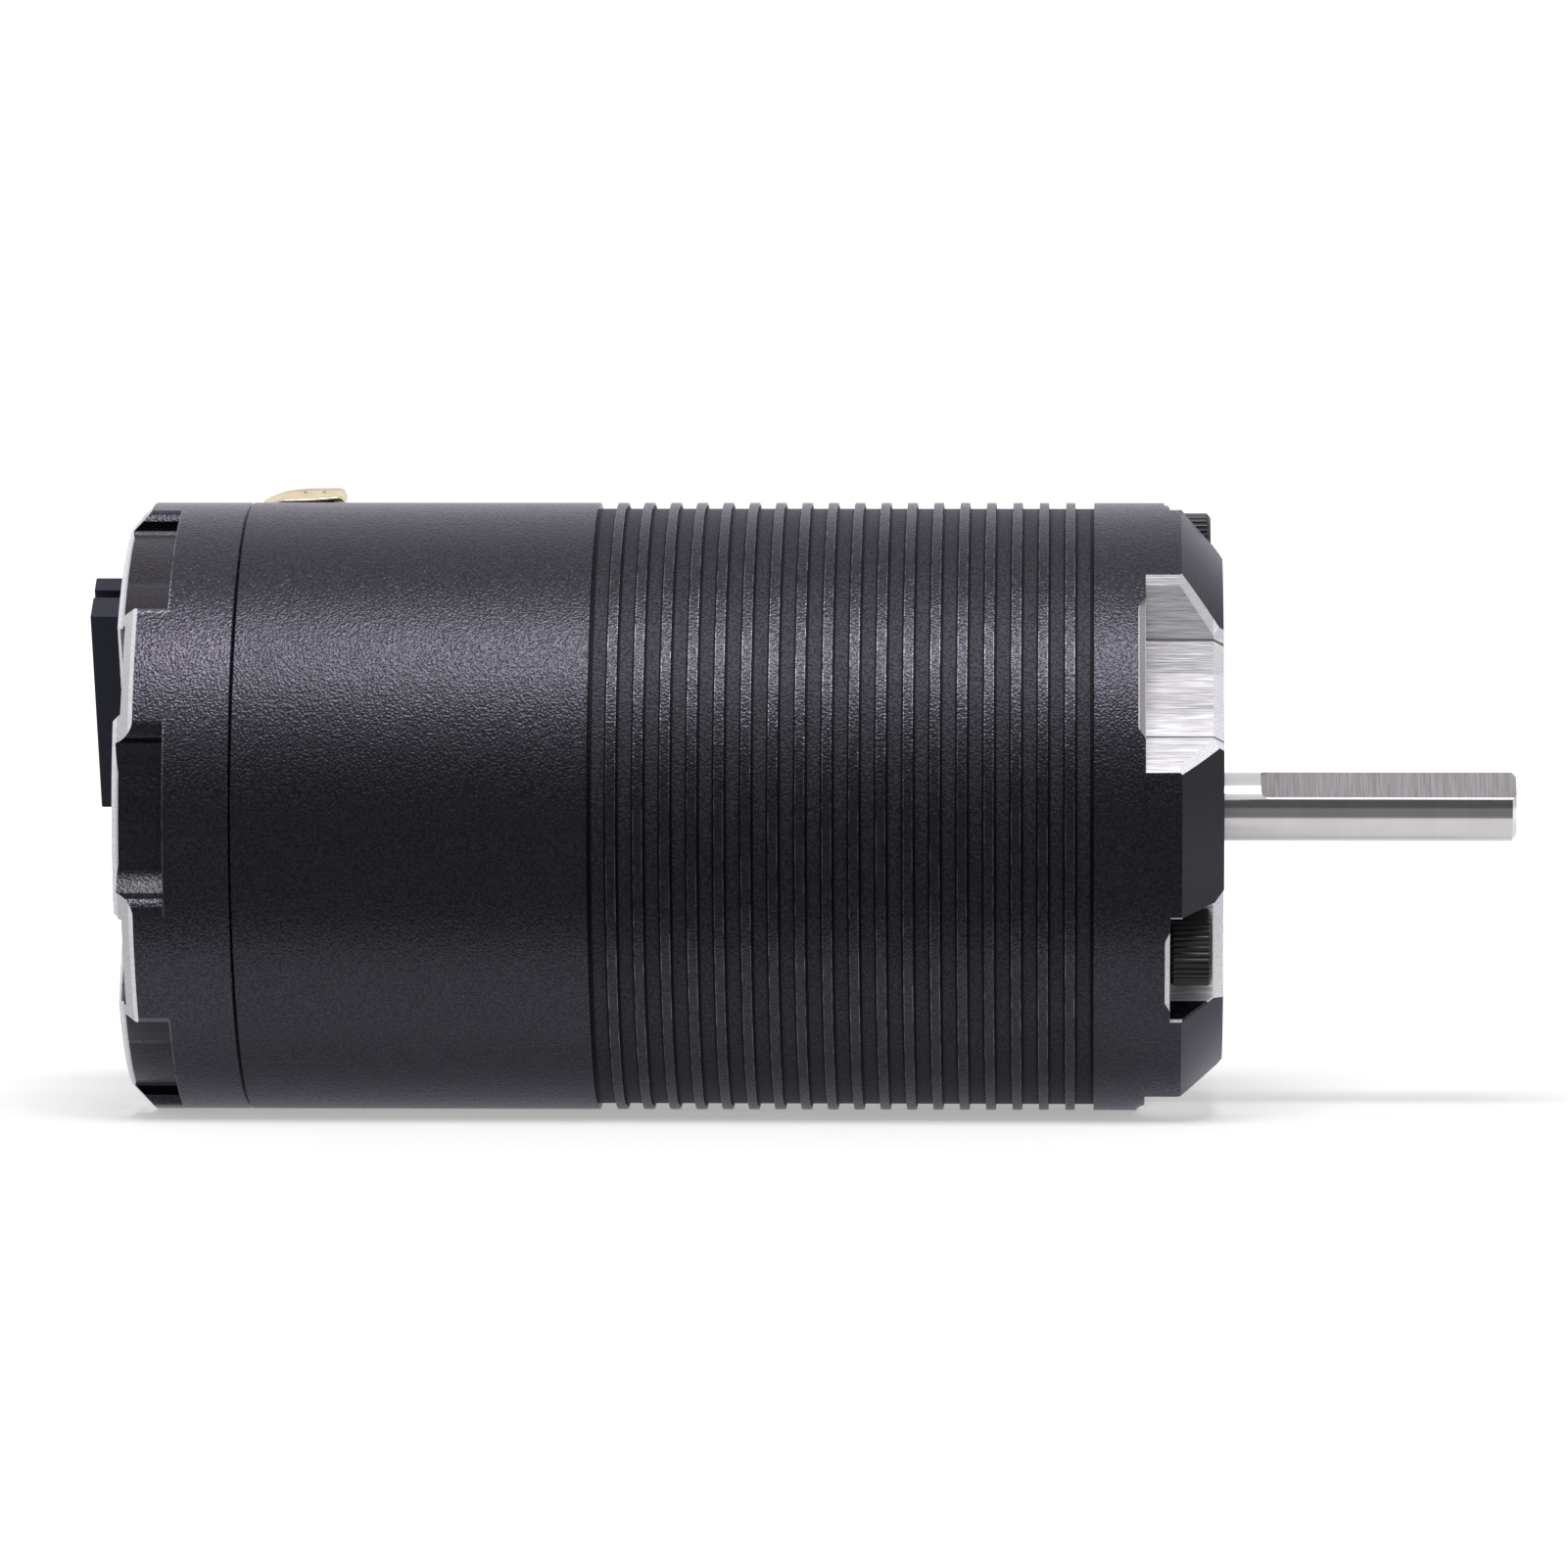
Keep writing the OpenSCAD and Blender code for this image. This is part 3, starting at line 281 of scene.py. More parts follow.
def black_parts(s, silver, smooth=0.0, turned=0.0, wear_and_highlight=0.0, groove=0.0, shade_and_seam=0.0,
                shade_and_dark_band=0.0, sand=SAND, rough=SAND_ROUGH, swell=0.0):
    """Blasted black aluminium with cut silver places; each mask is 1 where its finish lies, and the masks of
    the lighter edges, the dark lines and the darker silver also lay painted highlight and painted shade.
    """
    grain = s.noise(scale=GRAIN_SCALE, detail=1.0)
    speck = s.fade(grain, start=0.30, end=0.70)
    along = s.split(s.place)[0]
    rings = s.noise(scale=1.0, place=s.join(s.times(along, RINGS_PER_MM), 0.0, 0.0))
    milled = s.near(s.split(s.facing)[0], 0.0, reach=0.2)
    streaks = s.noise(scale=1.0, roughness=0.6, stretch=STREAK_STRETCH)
    streaks = s.blend(milled, s.scale(s.noise(scale=7.0, detail=1.0), *END_FACE_TONES), streaks)

    black = s.blend(speck, *sand)
    black = s.blend(groove, black, s.blend(speck, *GROOVE))
    black = s.blend(turned, black, TURNED_BLACK)
    black = s.blend(smooth, black, s.blend(speck, *POCKET))
    # Wear and painted highlight on edges
    black = s.blend(wear_and_highlight, black, WEAR_AND_HIGHLIGHT)
    # Painted shade in the rib grooves' corners, and the dark seam
    black = s.blend(shade_and_seam, black, SHADE_AND_SEAM)
    metal = s.blend(s.fade(streaks, start=0.3, end=0.7), *SILVER)
    # Painted shade on the notches' metal, and the darker band on the end bell's chamfer
    metal = s.blend(shade_and_dark_band, metal, SILVER_SHADE_AND_DARK_BAND)

    rough_black = s.scale(s.noise(scale=1.6), *rough)
    rough_black = s.blend(groove, rough_black, GROOVE_ROUGH)
    rough_black = s.blend(turned, rough_black, TURNED_ROUGH)
    rough_metal = s.scale(streaks, *CUT_ROUGH)

    grained = s.both(s.invert(silver), s.scale(smooth, 1.0, POCKET_GRAIN_SHARE), s.invert(turned))
    height = s.add(s.times(grain, grained), s.times(s.times(rings, turned), RING_DEPTH_SHARE))
    height = s.add(height, s.times(s.times(streaks, silver), s.scale(milled, *STREAK_DEPTH_SHARES)))
    return s.finish(
        base_color=s.blend(silver, black, metal),
        metallic=s.scale(silver, BLACK_METAL, 1.0),
        roughness=s.blend(silver, rough_black, rough_metal),
        specular_tint=BLACK_TINT,
        normal=s.bump(height, GRAIN_DEPTH, base=s.bump(swell, SWELL_DEPTH)))


# Sizes of the can and the end bell, in millimetres
OUTER_R = BODY_R / MM
SEAM_AT = can_low.x / MM
REAR_AT = bell_low.x / MM
SEAM_HALF_W = 0.06
SEAM_DEPTH = 0.3
FRONT_CHAMFER_L = 3.0
FRONT_CHAMFER_H = 3.4

# What lies deeper than SKIN is cut into the turned outside, and FACE_SHY keeps both off the front face
SKIN = 0.03
FACE_SHY = 0.01

# The front notches: screws and wide notches take turns, and each wide notch's middle lies at 30 degrees,
# or a third or two thirds of a turn further on
NOTCH_ANGLE = 30.0
NOTCH_PITCH = 120.0
NOTCH_REACH = 6.3
NOTCH_IN_R = 14.5
NOTCH_END_AT = -5.6
NOTCH_BEVEL = 0.75
NOTCH_FLOOR_W = 3.3
NOTCH_FLOOR_R = 17.8
NOTCH_FOOT_ASIDE = 3.9
NOTCH_FOOT_R = 19.0
FOOT_LINE_HALF_W = 0.09
FLANK_ASIDE = 4.0
FLANK_DEPTH = 4.4
SCREW_FLANK_DEG = 13.0
SCREW_FLANK_OUT = 19.4
SCREW_FLANK_END_AT = -3.85
SCREW_BEVEL = 0.2
SCREW_BEVEL_END_AT = -2.95
# Shares of painted shade on the wide notches' floors, end walls and the flank on one side of each
FLOOR_SHADE = 0.28
END_SHADE = 0.7
END_BEVEL_DEPTH = 0.1
FLANK_SHADE = 0.3

# The cooling ribs
RIB_PITCH = 1.905
RIB_W = 0.68
RIB_COUNT = 18
END_GROOVE_W = 1.35
RIBS_START_AT = -9.23
FIRST_RIB_AT = RIBS_START_AT - END_GROOVE_W
RIBS_END_AT = FIRST_RIB_AT - (RIB_COUNT - 1) * RIB_PITCH - RIB_W - END_GROOVE_W
RIB_EDGE_HALF_W = 0.06
RIB_EDGE_DEPTH = 0.1
GROOVE_DEPTHS = (0.2, 1.0)
# Half widths of the painted shade lines in the grooves' corners
CORNER_SHADE_WIDE = 0.2
CORNER_SHADE_FINE = 0.15


def notch_masks(s, x, r, angle, depth):
    """Where the front notches are cut to bare metal, and where painted shade darkens that metal."""
    half_pitch = NOTCH_PITCH / 2
    from_screw = s.math("PINGPONG", s.add(angle, half_pitch - NOTCH_ANGLE), half_pitch)
    wide = s.more(from_screw, half_pitch / 2)
    cut = s.both(s.more(depth, SKIN), s.more(x, -NOTCH_REACH), s.less(x, -FACE_SHY), s.more(r, NOTCH_IN_R))

    out = s.times(r, s.math("COSINE", s.math("RADIANS", from_screw)))
    inside = s.either(s.more(depth, SCREW_BEVEL), s.more(x, SCREW_BEVEL_END_AT))
    black_flank = s.both(
        s.less(from_screw, SCREW_FLANK_DEG), s.more(out, SCREW_FLANK_OUT), inside,
        s.more(x, SCREW_FLANK_END_AT))

    from_notch = s.minus(half_pitch, from_screw)
    aside = s.times(r, s.math("SINE", s.math("RADIANS", from_notch)))
    behind_bevel = s.less(x, -NOTCH_BEVEL)
    # Painted shade: a dark line in the corner at the foot of each wide notch's sides
    foot = s.both(s.near(aside, NOTCH_FOOT_ASIDE, FOOT_LINE_HALF_W), s.less(r, NOTCH_FOOT_R))
    floor = s.both(s.less(aside, NOTCH_FLOOR_W / 2), s.less(r, NOTCH_FLOOR_R), wide, behind_bevel)
    end = s.both(wide, s.less(x, NOTCH_END_AT), s.more(depth, END_BEVEL_DEPTH))
    beyond = s.more(s.math("FLOORED_MODULO", angle, NOTCH_PITCH), NOTCH_ANGLE)
    flank = s.both(beyond, wide, s.more(aside, FLANK_ASIDE), s.less(depth, FLANK_DEPTH), behind_bevel)
    # Painted shade darkens the floor, the end wall and the flank on one side of each wide notch
    notch_shade = s.either(s.times(floor, FLOOR_SHADE), s.times(end, END_SHADE))
    notch_shade = s.either(notch_shade, s.times(flank, FLANK_SHADE))
    return s.both(cut, s.invert(black_flank)), s.either(foot, notch_shade)


def rib_masks(s, x, r):
    """The ribs' edges, lighter with wear and a painted highlight, the floors of the grooves between them,
    and painted shade in dark lines along their corners.
    """
    step = s.math("FLOORED_MODULO", s.minus(FIRST_RIB_AT, x), RIB_PITCH)
    ribs = s.both(s.less(x, RIBS_START_AT), s.more(x, RIBS_END_AT))
    edge = s.either(s.near(step, 0.0, RIB_EDGE_HALF_W), s.near(step, RIB_W, RIB_EDGE_HALF_W))
    # Lighter rib edges: wear and a painted highlight
    wear_and_highlight = s.both(edge, s.more(r, OUTER_R - RIB_EDGE_DEPTH), ribs)
    wear_and_highlight = s.times(wear_and_highlight, s.fade(s.noise(scale=0.8, detail=3.0), start=0.35, end=0.7))
    shallow, deep = GROOVE_DEPTHS
    groove = s.both(ribs, s.less(r, OUTER_R - shallow), s.more(r, OUTER_R - deep))
    # Painted shade: dark lines along the grooves' corners and at the ribs' two ends
    beside = s.either(s.near(step, RIB_PITCH, CORNER_SHADE_WIDE), s.near(step, RIB_W, CORNER_SHADE_FINE))
    ends = s.either(s.near(x, RIBS_START_AT, CORNER_SHADE_FINE), s.near(x, RIBS_END_AT, CORNER_SHADE_WIDE))
    return wear_and_highlight, groove, s.both(groove, s.either(beside, ends))


def seam_mask(s, x, r):
    return s.both(s.near(x, SEAM_AT, SEAM_HALF_W), s.more(r, OUTER_R - SEAM_DEPTH))


def can_material():
    s = Shader("black_aluminium_can")
    x, r, angle = s.polar()
    cone = s.math("MAXIMUM", s.add(x, FRONT_CHAMFER_L), 0.0)
    outline = s.minus(OUTER_R, s.times(cone, FRONT_CHAMFER_H / FRONT_CHAMFER_L))
    depth = s.minus(outline, r)
    silver, shade_and_dark_band = notch_masks(s, x, r, angle, depth)
    turned = s.both(s.more(x, -FRONT_CHAMFER_L), s.less(depth, SKIN), s.less(x, -FACE_SHY))
    wear_and_highlight, groove, shade_and_seam = rib_masks(s, x, r)
    return black_parts(s, silver, turned=turned, wear_and_highlight=wear_and_highlight, groove=groove,
                       shade_and_seam=s.either(shade_and_seam, seam_mask(s, x, r)), shade_and_dark_band=shade_and_dark_band)


# The end bell's rear chamfer and the bevels of its recesses
REAR_CHAMFER = 1.5
BEVELS_AT = -77.0
BEVEL_SLOPES = (-0.8, -0.6)
CHAMFER_SKIN = 0.15
FACE_SKIN = 0.22
STRIP_SKIN = 0.05
STRIP_HALF_W = 0.42
STRIP_DULL = 0.3

# The end bell's side pockets, one at each sixth of a turn
POCKET_PITCH = 60.0
POCKET_HALF_DEG = 18.6
POCKET_FRONT_AT = -75.0
POCKET_R = (19.6, 21.4)
POCKET_START_AT = -74.9
POCKET_RIM_AT = -74.98
POCKET_RIM_HALF_W = 0.06
POCKET_WALL_DEG = 18.0
POCKET_WALL_HALF_DEG = 0.6
POCKET_EDGE_HALF_DEG = 0.5
POCKET_EDGE_DEPTH = 0.1
# How much painted highlight the pockets' end walls and edges get, standing in for the light on rounded
# fillets
POCKET_WALL_HIGHLIGHT = 0.6
FILLET_START_DEG = 8.0
FILLET_RISE = 0.046


def bell_material():
    s = Shader("black_aluminium_bell")
    x, r, angle = s.polar()
    slope = s.split(s.facing)[0]
    cone = s.math("MAXIMUM", s.minus(REAR_AT + REAR_CHAMFER, x), 0.0)
    depth = s.minus(s.minus(OUTER_R, cone), r)
    steep, shallow = BEVEL_SLOPES
    shown = s.either(s.less(depth, CHAMFER_SKIN), s.less(x, REAR_AT + FACE_SKIN))
    silver = s.both(s.less(x, BEVELS_AT), s.less(slope, shallow), s.more(slope, steep), shown)
    strip = s.both(s.less(depth, STRIP_SKIN), s.near(x, REAR_AT + REAR_CHAMFER / 2, STRIP_HALF_W))

    turn = s.math("ABSOLUTE", angle)
    fold = s.math("PINGPONG", turn, POCKET_PITCH / 2)
    low_r, high_r = POCKET_R
    smooth = s.both(s.less(r, high_r), s.more(r, low_r), s.less(x, POCKET_START_AT), s.invert(silver))
    # The pockets' front rims: a lighter line of wear and painted highlight
    rim = s.both(
        s.near(x, POCKET_RIM_AT, POCKET_RIM_HALF_W), s.more(r, OUTER_R - POCKET_RIM_HALF_W),
        s.less(fold, POCKET_HALF_DEG))
    rim = s.times(rim, s.fade(s.noise(scale=1.5, detail=3.0), start=0.25, end=0.5))
    edge_r = OUTER_R - POCKET_EDGE_DEPTH
    # Painted highlight on the pockets' end walls and edges, standing in for the light on a rounded fillet
    wall = s.both(s.near(fold, POCKET_WALL_DEG, POCKET_WALL_HALF_DEG), s.less(r, edge_r))
    edge = s.both(
        s.near(fold, POCKET_HALF_DEG, POCKET_EDGE_HALF_DEG), s.more(r, edge_r),
        s.more(turn, POCKET_PITCH / 2))
    wall = s.both(s.either(wall, edge), s.less(x, POCKET_FRONT_AT), s.invert(silver))
    climb = s.math("POWER", s.math("MAXIMUM", s.minus(fold, FILLET_START_DEG), 0.0), 2.0)
    return black_parts(
        s, silver, smooth=smooth, wear_and_highlight=s.either(rim, s.times(wall, POCKET_WALL_HIGHLIGHT)),
        shade_and_seam=seam_mask(s, x, r), shade_and_dark_band=s.times(strip, STRIP_DULL), sand=BELL_SAND, rough=BELL_ROUGH,
        swell=s.times(smooth, s.times(climb, FILLET_RISE)))


def screw_material():
    s = Shader("black_oxide_screw")
    oil = s.noise(scale=0.7, detail=3.0)
    return s.finish(
        base_color=s.blend(oil, *OXIDE),
        specular_ior_level=0.35,
        roughness=s.scale(oil, low=0.25, high=0.42),
        normal=s.bump(s.noise(scale=9.0), depth=0.006))


# The shaft's ground flat, in degrees and millimetres, the grinding lines, and a painted highlight along the
# flat's lower edge
FLAT_ANGLE = 52
FLAT_R = 2.0
FLAT_SHY = 0.01
FLAT_EDGE_ASIDE = -1.3
LINE_STRETCH = (22.0, 0.25, 0.25)
LINE_TONE_SHARE = 0.4
LINE_DEPTH_SHARES = (0.2, 1.0)


def shaft_material():
    s = Shader("ground_steel_shaft")
    lines = s.noise(scale=1.0, detail=3.0, stretch=LINE_STRETCH)
    patches = s.noise(scale=0.25)
    tilt = math.radians(FLAT_ANGLE)
    out = s.vector("DOT_PRODUCT", s.place, (0.0, -math.cos(tilt), math.sin(tilt)))
    aside = s.vector("DOT_PRODUCT", s.place, (0.0, math.sin(tilt), math.cos(tilt)))
    flat = s.near(out, FLAT_R, FLAT_SHY)
    # Painted highlight: a bright line along the flat's lower edge, where the round of the shaft catches the
    # lamp
    edge = s.both(flat, s.less(aside, FLAT_EDGE_ASIDE))
    tone = s.add(s.times(lines, LINE_TONE_SHARE), s.times(patches, 1 - LINE_TONE_SHARE))
    ground = s.blend(s.fade(lines, start=0.3, end=0.7), *GROUND)
    colour = s.blend(flat, s.blend(tone, *STEEL), ground)
    return s.finish(
        base_color=s.blend(edge, colour, EDGE_HIGHLIGHT),
        metallic=1.0,
        roughness=s.blend(flat, s.scale(lines, low=0.12, high=0.20), s.scale(lines, low=0.34, high=0.50)),
        normal=s.bump(s.times(lines, s.scale(flat, *LINE_DEPTH_SHARES)), depth=0.012))


def turned_material(name, tones, rough, rings=8.0):
    """Bright turned or pressed metal; rings is how close its fine rings lie."""
    s = Shader(name)
    turning = s.noise(scale=1.0, place=s.around(along=rings, out=rings, turn=0.0))
    return s.finish(
        base_color=s.blend(turning, *tones),
        metallic=1.0,
        roughness=s.scale(turning, *rough),
        normal=s.bump(turning, depth=0.003))


# The two small holes in a solder cup's wall, in millimetres: not cut, but painted shade in the gold
CUP_HOLES_AT = (-67.1, -65.7)
CUP_HOLES_R = 24.2
CUP_HOLE_HALF_L = 0.14
CUP_HOLE_HALF_H = 0.13


def gold_material():
    s = Shader("gold_plate")
    x, r, _ = s.polar()
    wear = s.noise(scale=0.9, detail=3.0)
    # Painted shade stands in for the two holes
    holes = s.either(*[s.near(x, place, CUP_HOLE_HALF_L) for place in CUP_HOLES_AT])
    holes = s.both(holes, s.near(r, CUP_HOLES_R, CUP_HOLE_HALF_H))
    return s.finish(
        base_color=s.blend(holes, s.blend(wear, *GOLD), GOLD_HOLE_SHADE),
        metallic=1.0,
        roughness=s.scale(wear, low=0.28, high=0.46),
        normal=s.bump(s.noise(scale=6.0), depth=0.004))


def plastic_material(name, tones, rough, gloss=0.5):
    s = Shader(name)
    tone = s.noise(scale=0.4)
    return s.finish(
        base_color=s.blend(tone, *tones),
        specular_ior_level=gloss,
        roughness=s.scale(tone, *rough),
        normal=s.bump(s.noise(scale=7.0), depth=0.008))


def copper_material():
    s = Shader("copper_winding")
    strands = s.noise(scale=1.0, detail=1.0, place=s.around(along=0.2, out=3.2, turn=0.6))
    return s.finish(
        base_color=s.blend(strands, *COPPER),
        metallic=1.0,
        roughness=s.scale(strands, low=0.25, high=0.4),
        normal=s.bump(strands, depth=0.08))


# One sheet of the laminated cores, in millimetres, and how steeply its edge is raised
SHEET_T = 0.35
SHEET_RISE = 5.0


def lamination_material():
    s = Shader("steel_lamination")
    x = s.split(s.place)[0]
    sheets = s.math("PINGPONG", x, SHEET_T / 2)
    return s.finish(
        base_color=s.blend(s.noise(scale=1.2), *LAMINATION),
        metallic=1.0,
        roughness=s.scale(s.noise(scale=2.5), low=0.38, high=0.52),
        normal=s.bump(s.times(sheets, SHEET_RISE), depth=0.03))


# The noise above which a track lies on the board
TRACK_LEVEL = 0.52


def board_material():
    s = Shader("circuit_board")
    tracks = s.more(s.noise(scale=1.1, detail=0.0), TRACK_LEVEL)
    return s.finish(
        base_color=s.blend(tracks, *BOARD),
        roughness=s.scale(s.noise(scale=2.0), low=0.3, high=0.42),
        normal=s.bump(tracks, depth=0.02))


def magnet_material():
    s = Shader("nickel_magnet")
    tone = s.noise(scale=0.8, detail=3.0)
    return s.finish(
        base_color=s.blend(tone, *MAGNET),
        metallic=1.0,
        roughness=s.scale(tone, low=0.22, high=0.34),
        normal=s.bump(s.noise(scale=8.0), depth=0.004))


def sleeve_material():
    s = Shader("wound_sleeve")
    weave = s.noise(scale=1.0, detail=1.0, place=s.around(along=7.0, out=0.0, turn=0.02))
    return s.finish(
        base_color=s.blend(weave, *SLEEVE),
        roughness=s.scale(weave, low=0.28, high=0.4),
        coat_weight=0.4,
        normal=s.bump(weave, depth=0.02))


def dress_nodes():
    """Gives each node of the frame its finish."""
    race = turned_material("bearing_steel", RACE, rough=(0.16, 0.28))
    ball = turned_material("polished_balls", BALL, rough=(0.06, 0.18), rings=1.0)
    shield = turned_material("pressed_shields", SHIELD, rough=(0.24, 0.36))
    cage = turned_material("brass_cages", CAGE, rough=(0.26, 0.38))
    brass = turned_material("brass_rings", BRASS, rough=(0.20, 0.32))
    gold = gold_material()
    copper = copper_material()
    pale = plastic_material("pale_insulator", PALE_PLASTIC, rough=(0.45, 0.55))
    black = plastic_material("black_insulator", BLACK_PLASTIC, rough=(0.5, 0.6))
    socket = plastic_material("black_socket", SOCKET_BLACK, rough=(0.38, 0.48), gloss=0.2)
    finishes = {
        "can": can_material(),
        "rear_end_bell": bell_material(),
        "through_screws": screw_material(),
        "stator_core": lamination_material(),
        "disc_spring": shield,
        "sensor_board": board_material(),
        "board_screws": race,
        "hall_sensors": black,
        "sensor_socket": socket,
        "sensor_contacts": gold,
        "tab_insulators": black,
        "shaft": shaft_material(),
        "rotor_core": lamination_material(),
        "rotor_magnets": magnet_material(),
        "rotor_sleeve": sleeve_material()}
    for letter in "abc":
        finishes[f"winding_phase_{letter}"] = copper
        finishes[f"solder_tab_{letter}"] = gold
    for end in ("front", "rear"):
        finishes[f"{end}_insulator"] = pale
        finishes[f"{end}_balance_ring"] = brass
        finishes[f"{end}_spacer"] = race
        finishes[f"{end}_bearing_outer_race"] = race
        finishes[f"{end}_bearing_inner_race"] = race
        finishes[f"{end}_bearing_shields"] = shield
        finishes[f"{end}_bearing_balls"] = ball
        finishes[f"{end}_bearing_cage"] = cage
    for name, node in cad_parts.items():
        for slot in node.material_slots:
            slot.material = finishes[name]
    return finishes


# Meshes of the pieces that stand for a node

def new_object(name, mesh, material):
    """An object with its one material, from a bmesh that isn't needed any more."""
    data = bpy.data.meshes.new(name)
    mesh.to_mesh(data)
    mesh.free()
    data.materials.append(material)
    piece = bpy.data.objects.new(name, data)
    bpy.context.scene.collection.objects.link(piece)
    return piece


def lathe(name, stations, sides, material):
    """A closed form round X: each station is a place and a radius, plain or as a function of the turn."""
    mesh = bmesh.new()
    rings = []
    for x, radius in stations:
        ring = []
        for i in range(sides):
            turn = 2 * math.pi * i / sides
            r = radius(turn) if callable(radius) else radius
            ring.append(mesh.verts.new((x, r * math.cos(turn), r * math.sin(turn))))
        rings.append(ring)
    for one, other in zip(rings, rings[1:]):
        for i in range(sides):
            j = (i + 1) % sides
            mesh.faces.new((one[i], one[j], other[j], other[i]))
    mesh.faces.new(rings[0][::-1])
    mesh.faces.new(rings[-1])
    bmesh.ops.recalc_face_normals(mesh, faces=mesh.faces)
    return new_object(name, mesh, material)


def into_place(angle, x, aside, out):
    """A point given along the shaft, round it and away from its axis, at an angle round the shaft."""
    turn = math.radians(angle)
    return Vector((
        x,
        aside * math.sin(turn) - out * math.cos(turn),
        aside * math.cos(turn) + out * math.sin(turn)))


def block(name, angle, low, high, material):
    """A closed block between two corners given as (along the shaft, round it, away from its axis)."""
    mesh = bmesh.new()
    bmesh.ops.create_cube(mesh, size=1.0)
    middle = (Vector(low) + Vector(high)) / 2
    size = Vector(high) - Vector(low)
    for vertex in mesh.verts:
        place = [m + s * c for m, s, c in zip(middle, size, vertex.co)]
        vertex.co = into_place(angle, *place)
    bmesh.ops.recalc_face_normals(mesh, faces=mesh.faces)
    return new_object(name, mesh, material)


def border(rows):
    """The points round the outside of a grid, in order."""
    far = [row[-1] for row in rows[1:]]
    near = [row[0] for row in rows[-2:0:-1]]
    return rows[0] + far + rows[-1][-2::-1] + near


def solid_between(name, low_rows, high_rows, material, smooth):
    """A closed form between two grids with the same numbers of points."""
    mesh = bmesh.new()
    grids = [[[mesh.verts.new(point) for point in row] for row in rows] for rows in (low_rows, high_rows)]
    for rows in grids:
        for one, other in zip(rows, rows[1:]):
            for j in range(len(one) - 1):
                mesh.faces.new((one[j], one[j + 1], other[j + 1], other[j]))
    low, high = [border(rows) for rows in grids]
    for k in range(len(low)):
        after = (k + 1) % len(low)
        mesh.faces.new((low[k], low[after], high[after], high[k]))
    bmesh.ops.recalc_face_normals(mesh, faces=mesh.faces)
    for face in mesh.faces:
        face.smooth = smooth
    return new_object(name, mesh, material)


def settle(piece):
    """Turns a piece's modifiers into its mesh."""
    graph = bpy.context.evaluated_depsgraph_get()
    data = bpy.data.meshes.new_from_object(piece.evaluated_get(graph))
    piece.modifiers.clear()
    piece.data = data


def carve(piece, cutters):
    """Takes the cutters away from a piece, and then deletes them."""
    for cutter in cutters:
        cut = piece.modifiers.new("cut", "BOOLEAN")
        cut.operation = "DIFFERENCE"
        cut.object = cutter
        settle(piece)
        bpy.data.objects.remove(cutter)


def round_edges(piece, width):
    """Rounds a piece's sharp edges."""
    bevel = piece.modifiers.new("edges", "BEVEL")
    bevel.width = width
    bevel.segments = 2
    bevel.limit_method = "ANGLE"
    settle(piece)


# The screws, in metres
SCREW_ANGLES = (90, 210, 330)
SCREW_R = 1.5 * MM
SCREW_HEAD_R = 2.75 * MM
SCREW_HEAD_L = 3.0 * MM
SCREW_CIRCLE_R = screws_high.z - SCREW_HEAD_R
SCREW_FRONT_X = screws_high.x
SCREW_SEAT_X = SCREW_FRONT_X - SCREW_HEAD_L
SCREW_TIP_X = screws_low.x
SCREW_TIP_CHAMFER = 0.3 * MM
HEAD_CHAMFER = 0.3 * MM
HEAD_UNDERCUT = 0.1 * MM
KNURLS = 40
KNURL_DEPTH = 0.13 * MM
KNURL_POWER = 1.5
SIDES_PER_KNURL = 6
KNURL_STOP = 0.25 * MM
KNURL_FOOT = 0.12 * MM
HEX_HALF_W = 1.25 * MM
HEX_DEPTH = 1.35 * MM
HEX_BEVEL = 0.1 * MM
HEX_CONE_L = 0.25 * MM
HEX_CONE_SHARE = 0.3


def knurled(turn):
    """The radius of the head's knurled side at a turn."""
    wave = 0.5 - 0.5 * math.cos(KNURLS * turn)
    return SCREW_HEAD_R - KNURL_DEPTH * wave ** KNURL_POWER


def hexagon(turn):
    """The radius of the hexagon socket at a turn."""
    side = math.pi / 3
    return HEX_HALF_W / math.cos(turn % side - side / 2)


def hexagon_bevel(turn):
    """The radius of the bevel round the hexagon socket's mouth at a turn."""
    return hexagon(turn) + HEX_BEVEL


def through_screw(angle, material):
    """A socket head screw: knurled head, hexagon socket and shank."""
    core_r = SCREW_HEAD_R - KNURL_DEPTH
    stations = [
        (SCREW_FRONT_X - HEX_DEPTH, HEX_HALF_W * HEX_CONE_SHARE),
        (SCREW_FRONT_X - HEX_DEPTH + HEX_CONE_L, hexagon),
        (SCREW_FRONT_X - HEX_BEVEL, hexagon),
        (SCREW_FRONT_X, hexagon_bevel),
        (SCREW_FRONT_X, SCREW_HEAD_R - HEAD_CHAMFER),
        (SCREW_FRONT_X - HEAD_CHAMFER / 2, core_r),
        (SCREW_FRONT_X - HEAD_CHAMFER, knurled),
        (SCREW_SEAT_X + KNURL_STOP, knurled),
        (SCREW_SEAT_X + KNURL_FOOT, core_r),
        (SCREW_SEAT_X, core_r - HEAD_UNDERCUT),
        (SCREW_SEAT_X, SCREW_R),
        (SCREW_TIP_X + SCREW_TIP_CHAMFER, SCREW_R),
        (SCREW_TIP_X, SCREW_R - SCREW_TIP_CHAMFER)]
    piece = lathe(f"through_screw_{angle}", stations, KNURLS * SIDES_PER_KNURL, material)
    offset = into_place(angle, 0.0, 0.0, SCREW_CIRCLE_R)
    for vertex in piece.data.vertices:
        vertex.co += offset
    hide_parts("through_screws")
    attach(piece, "housing")


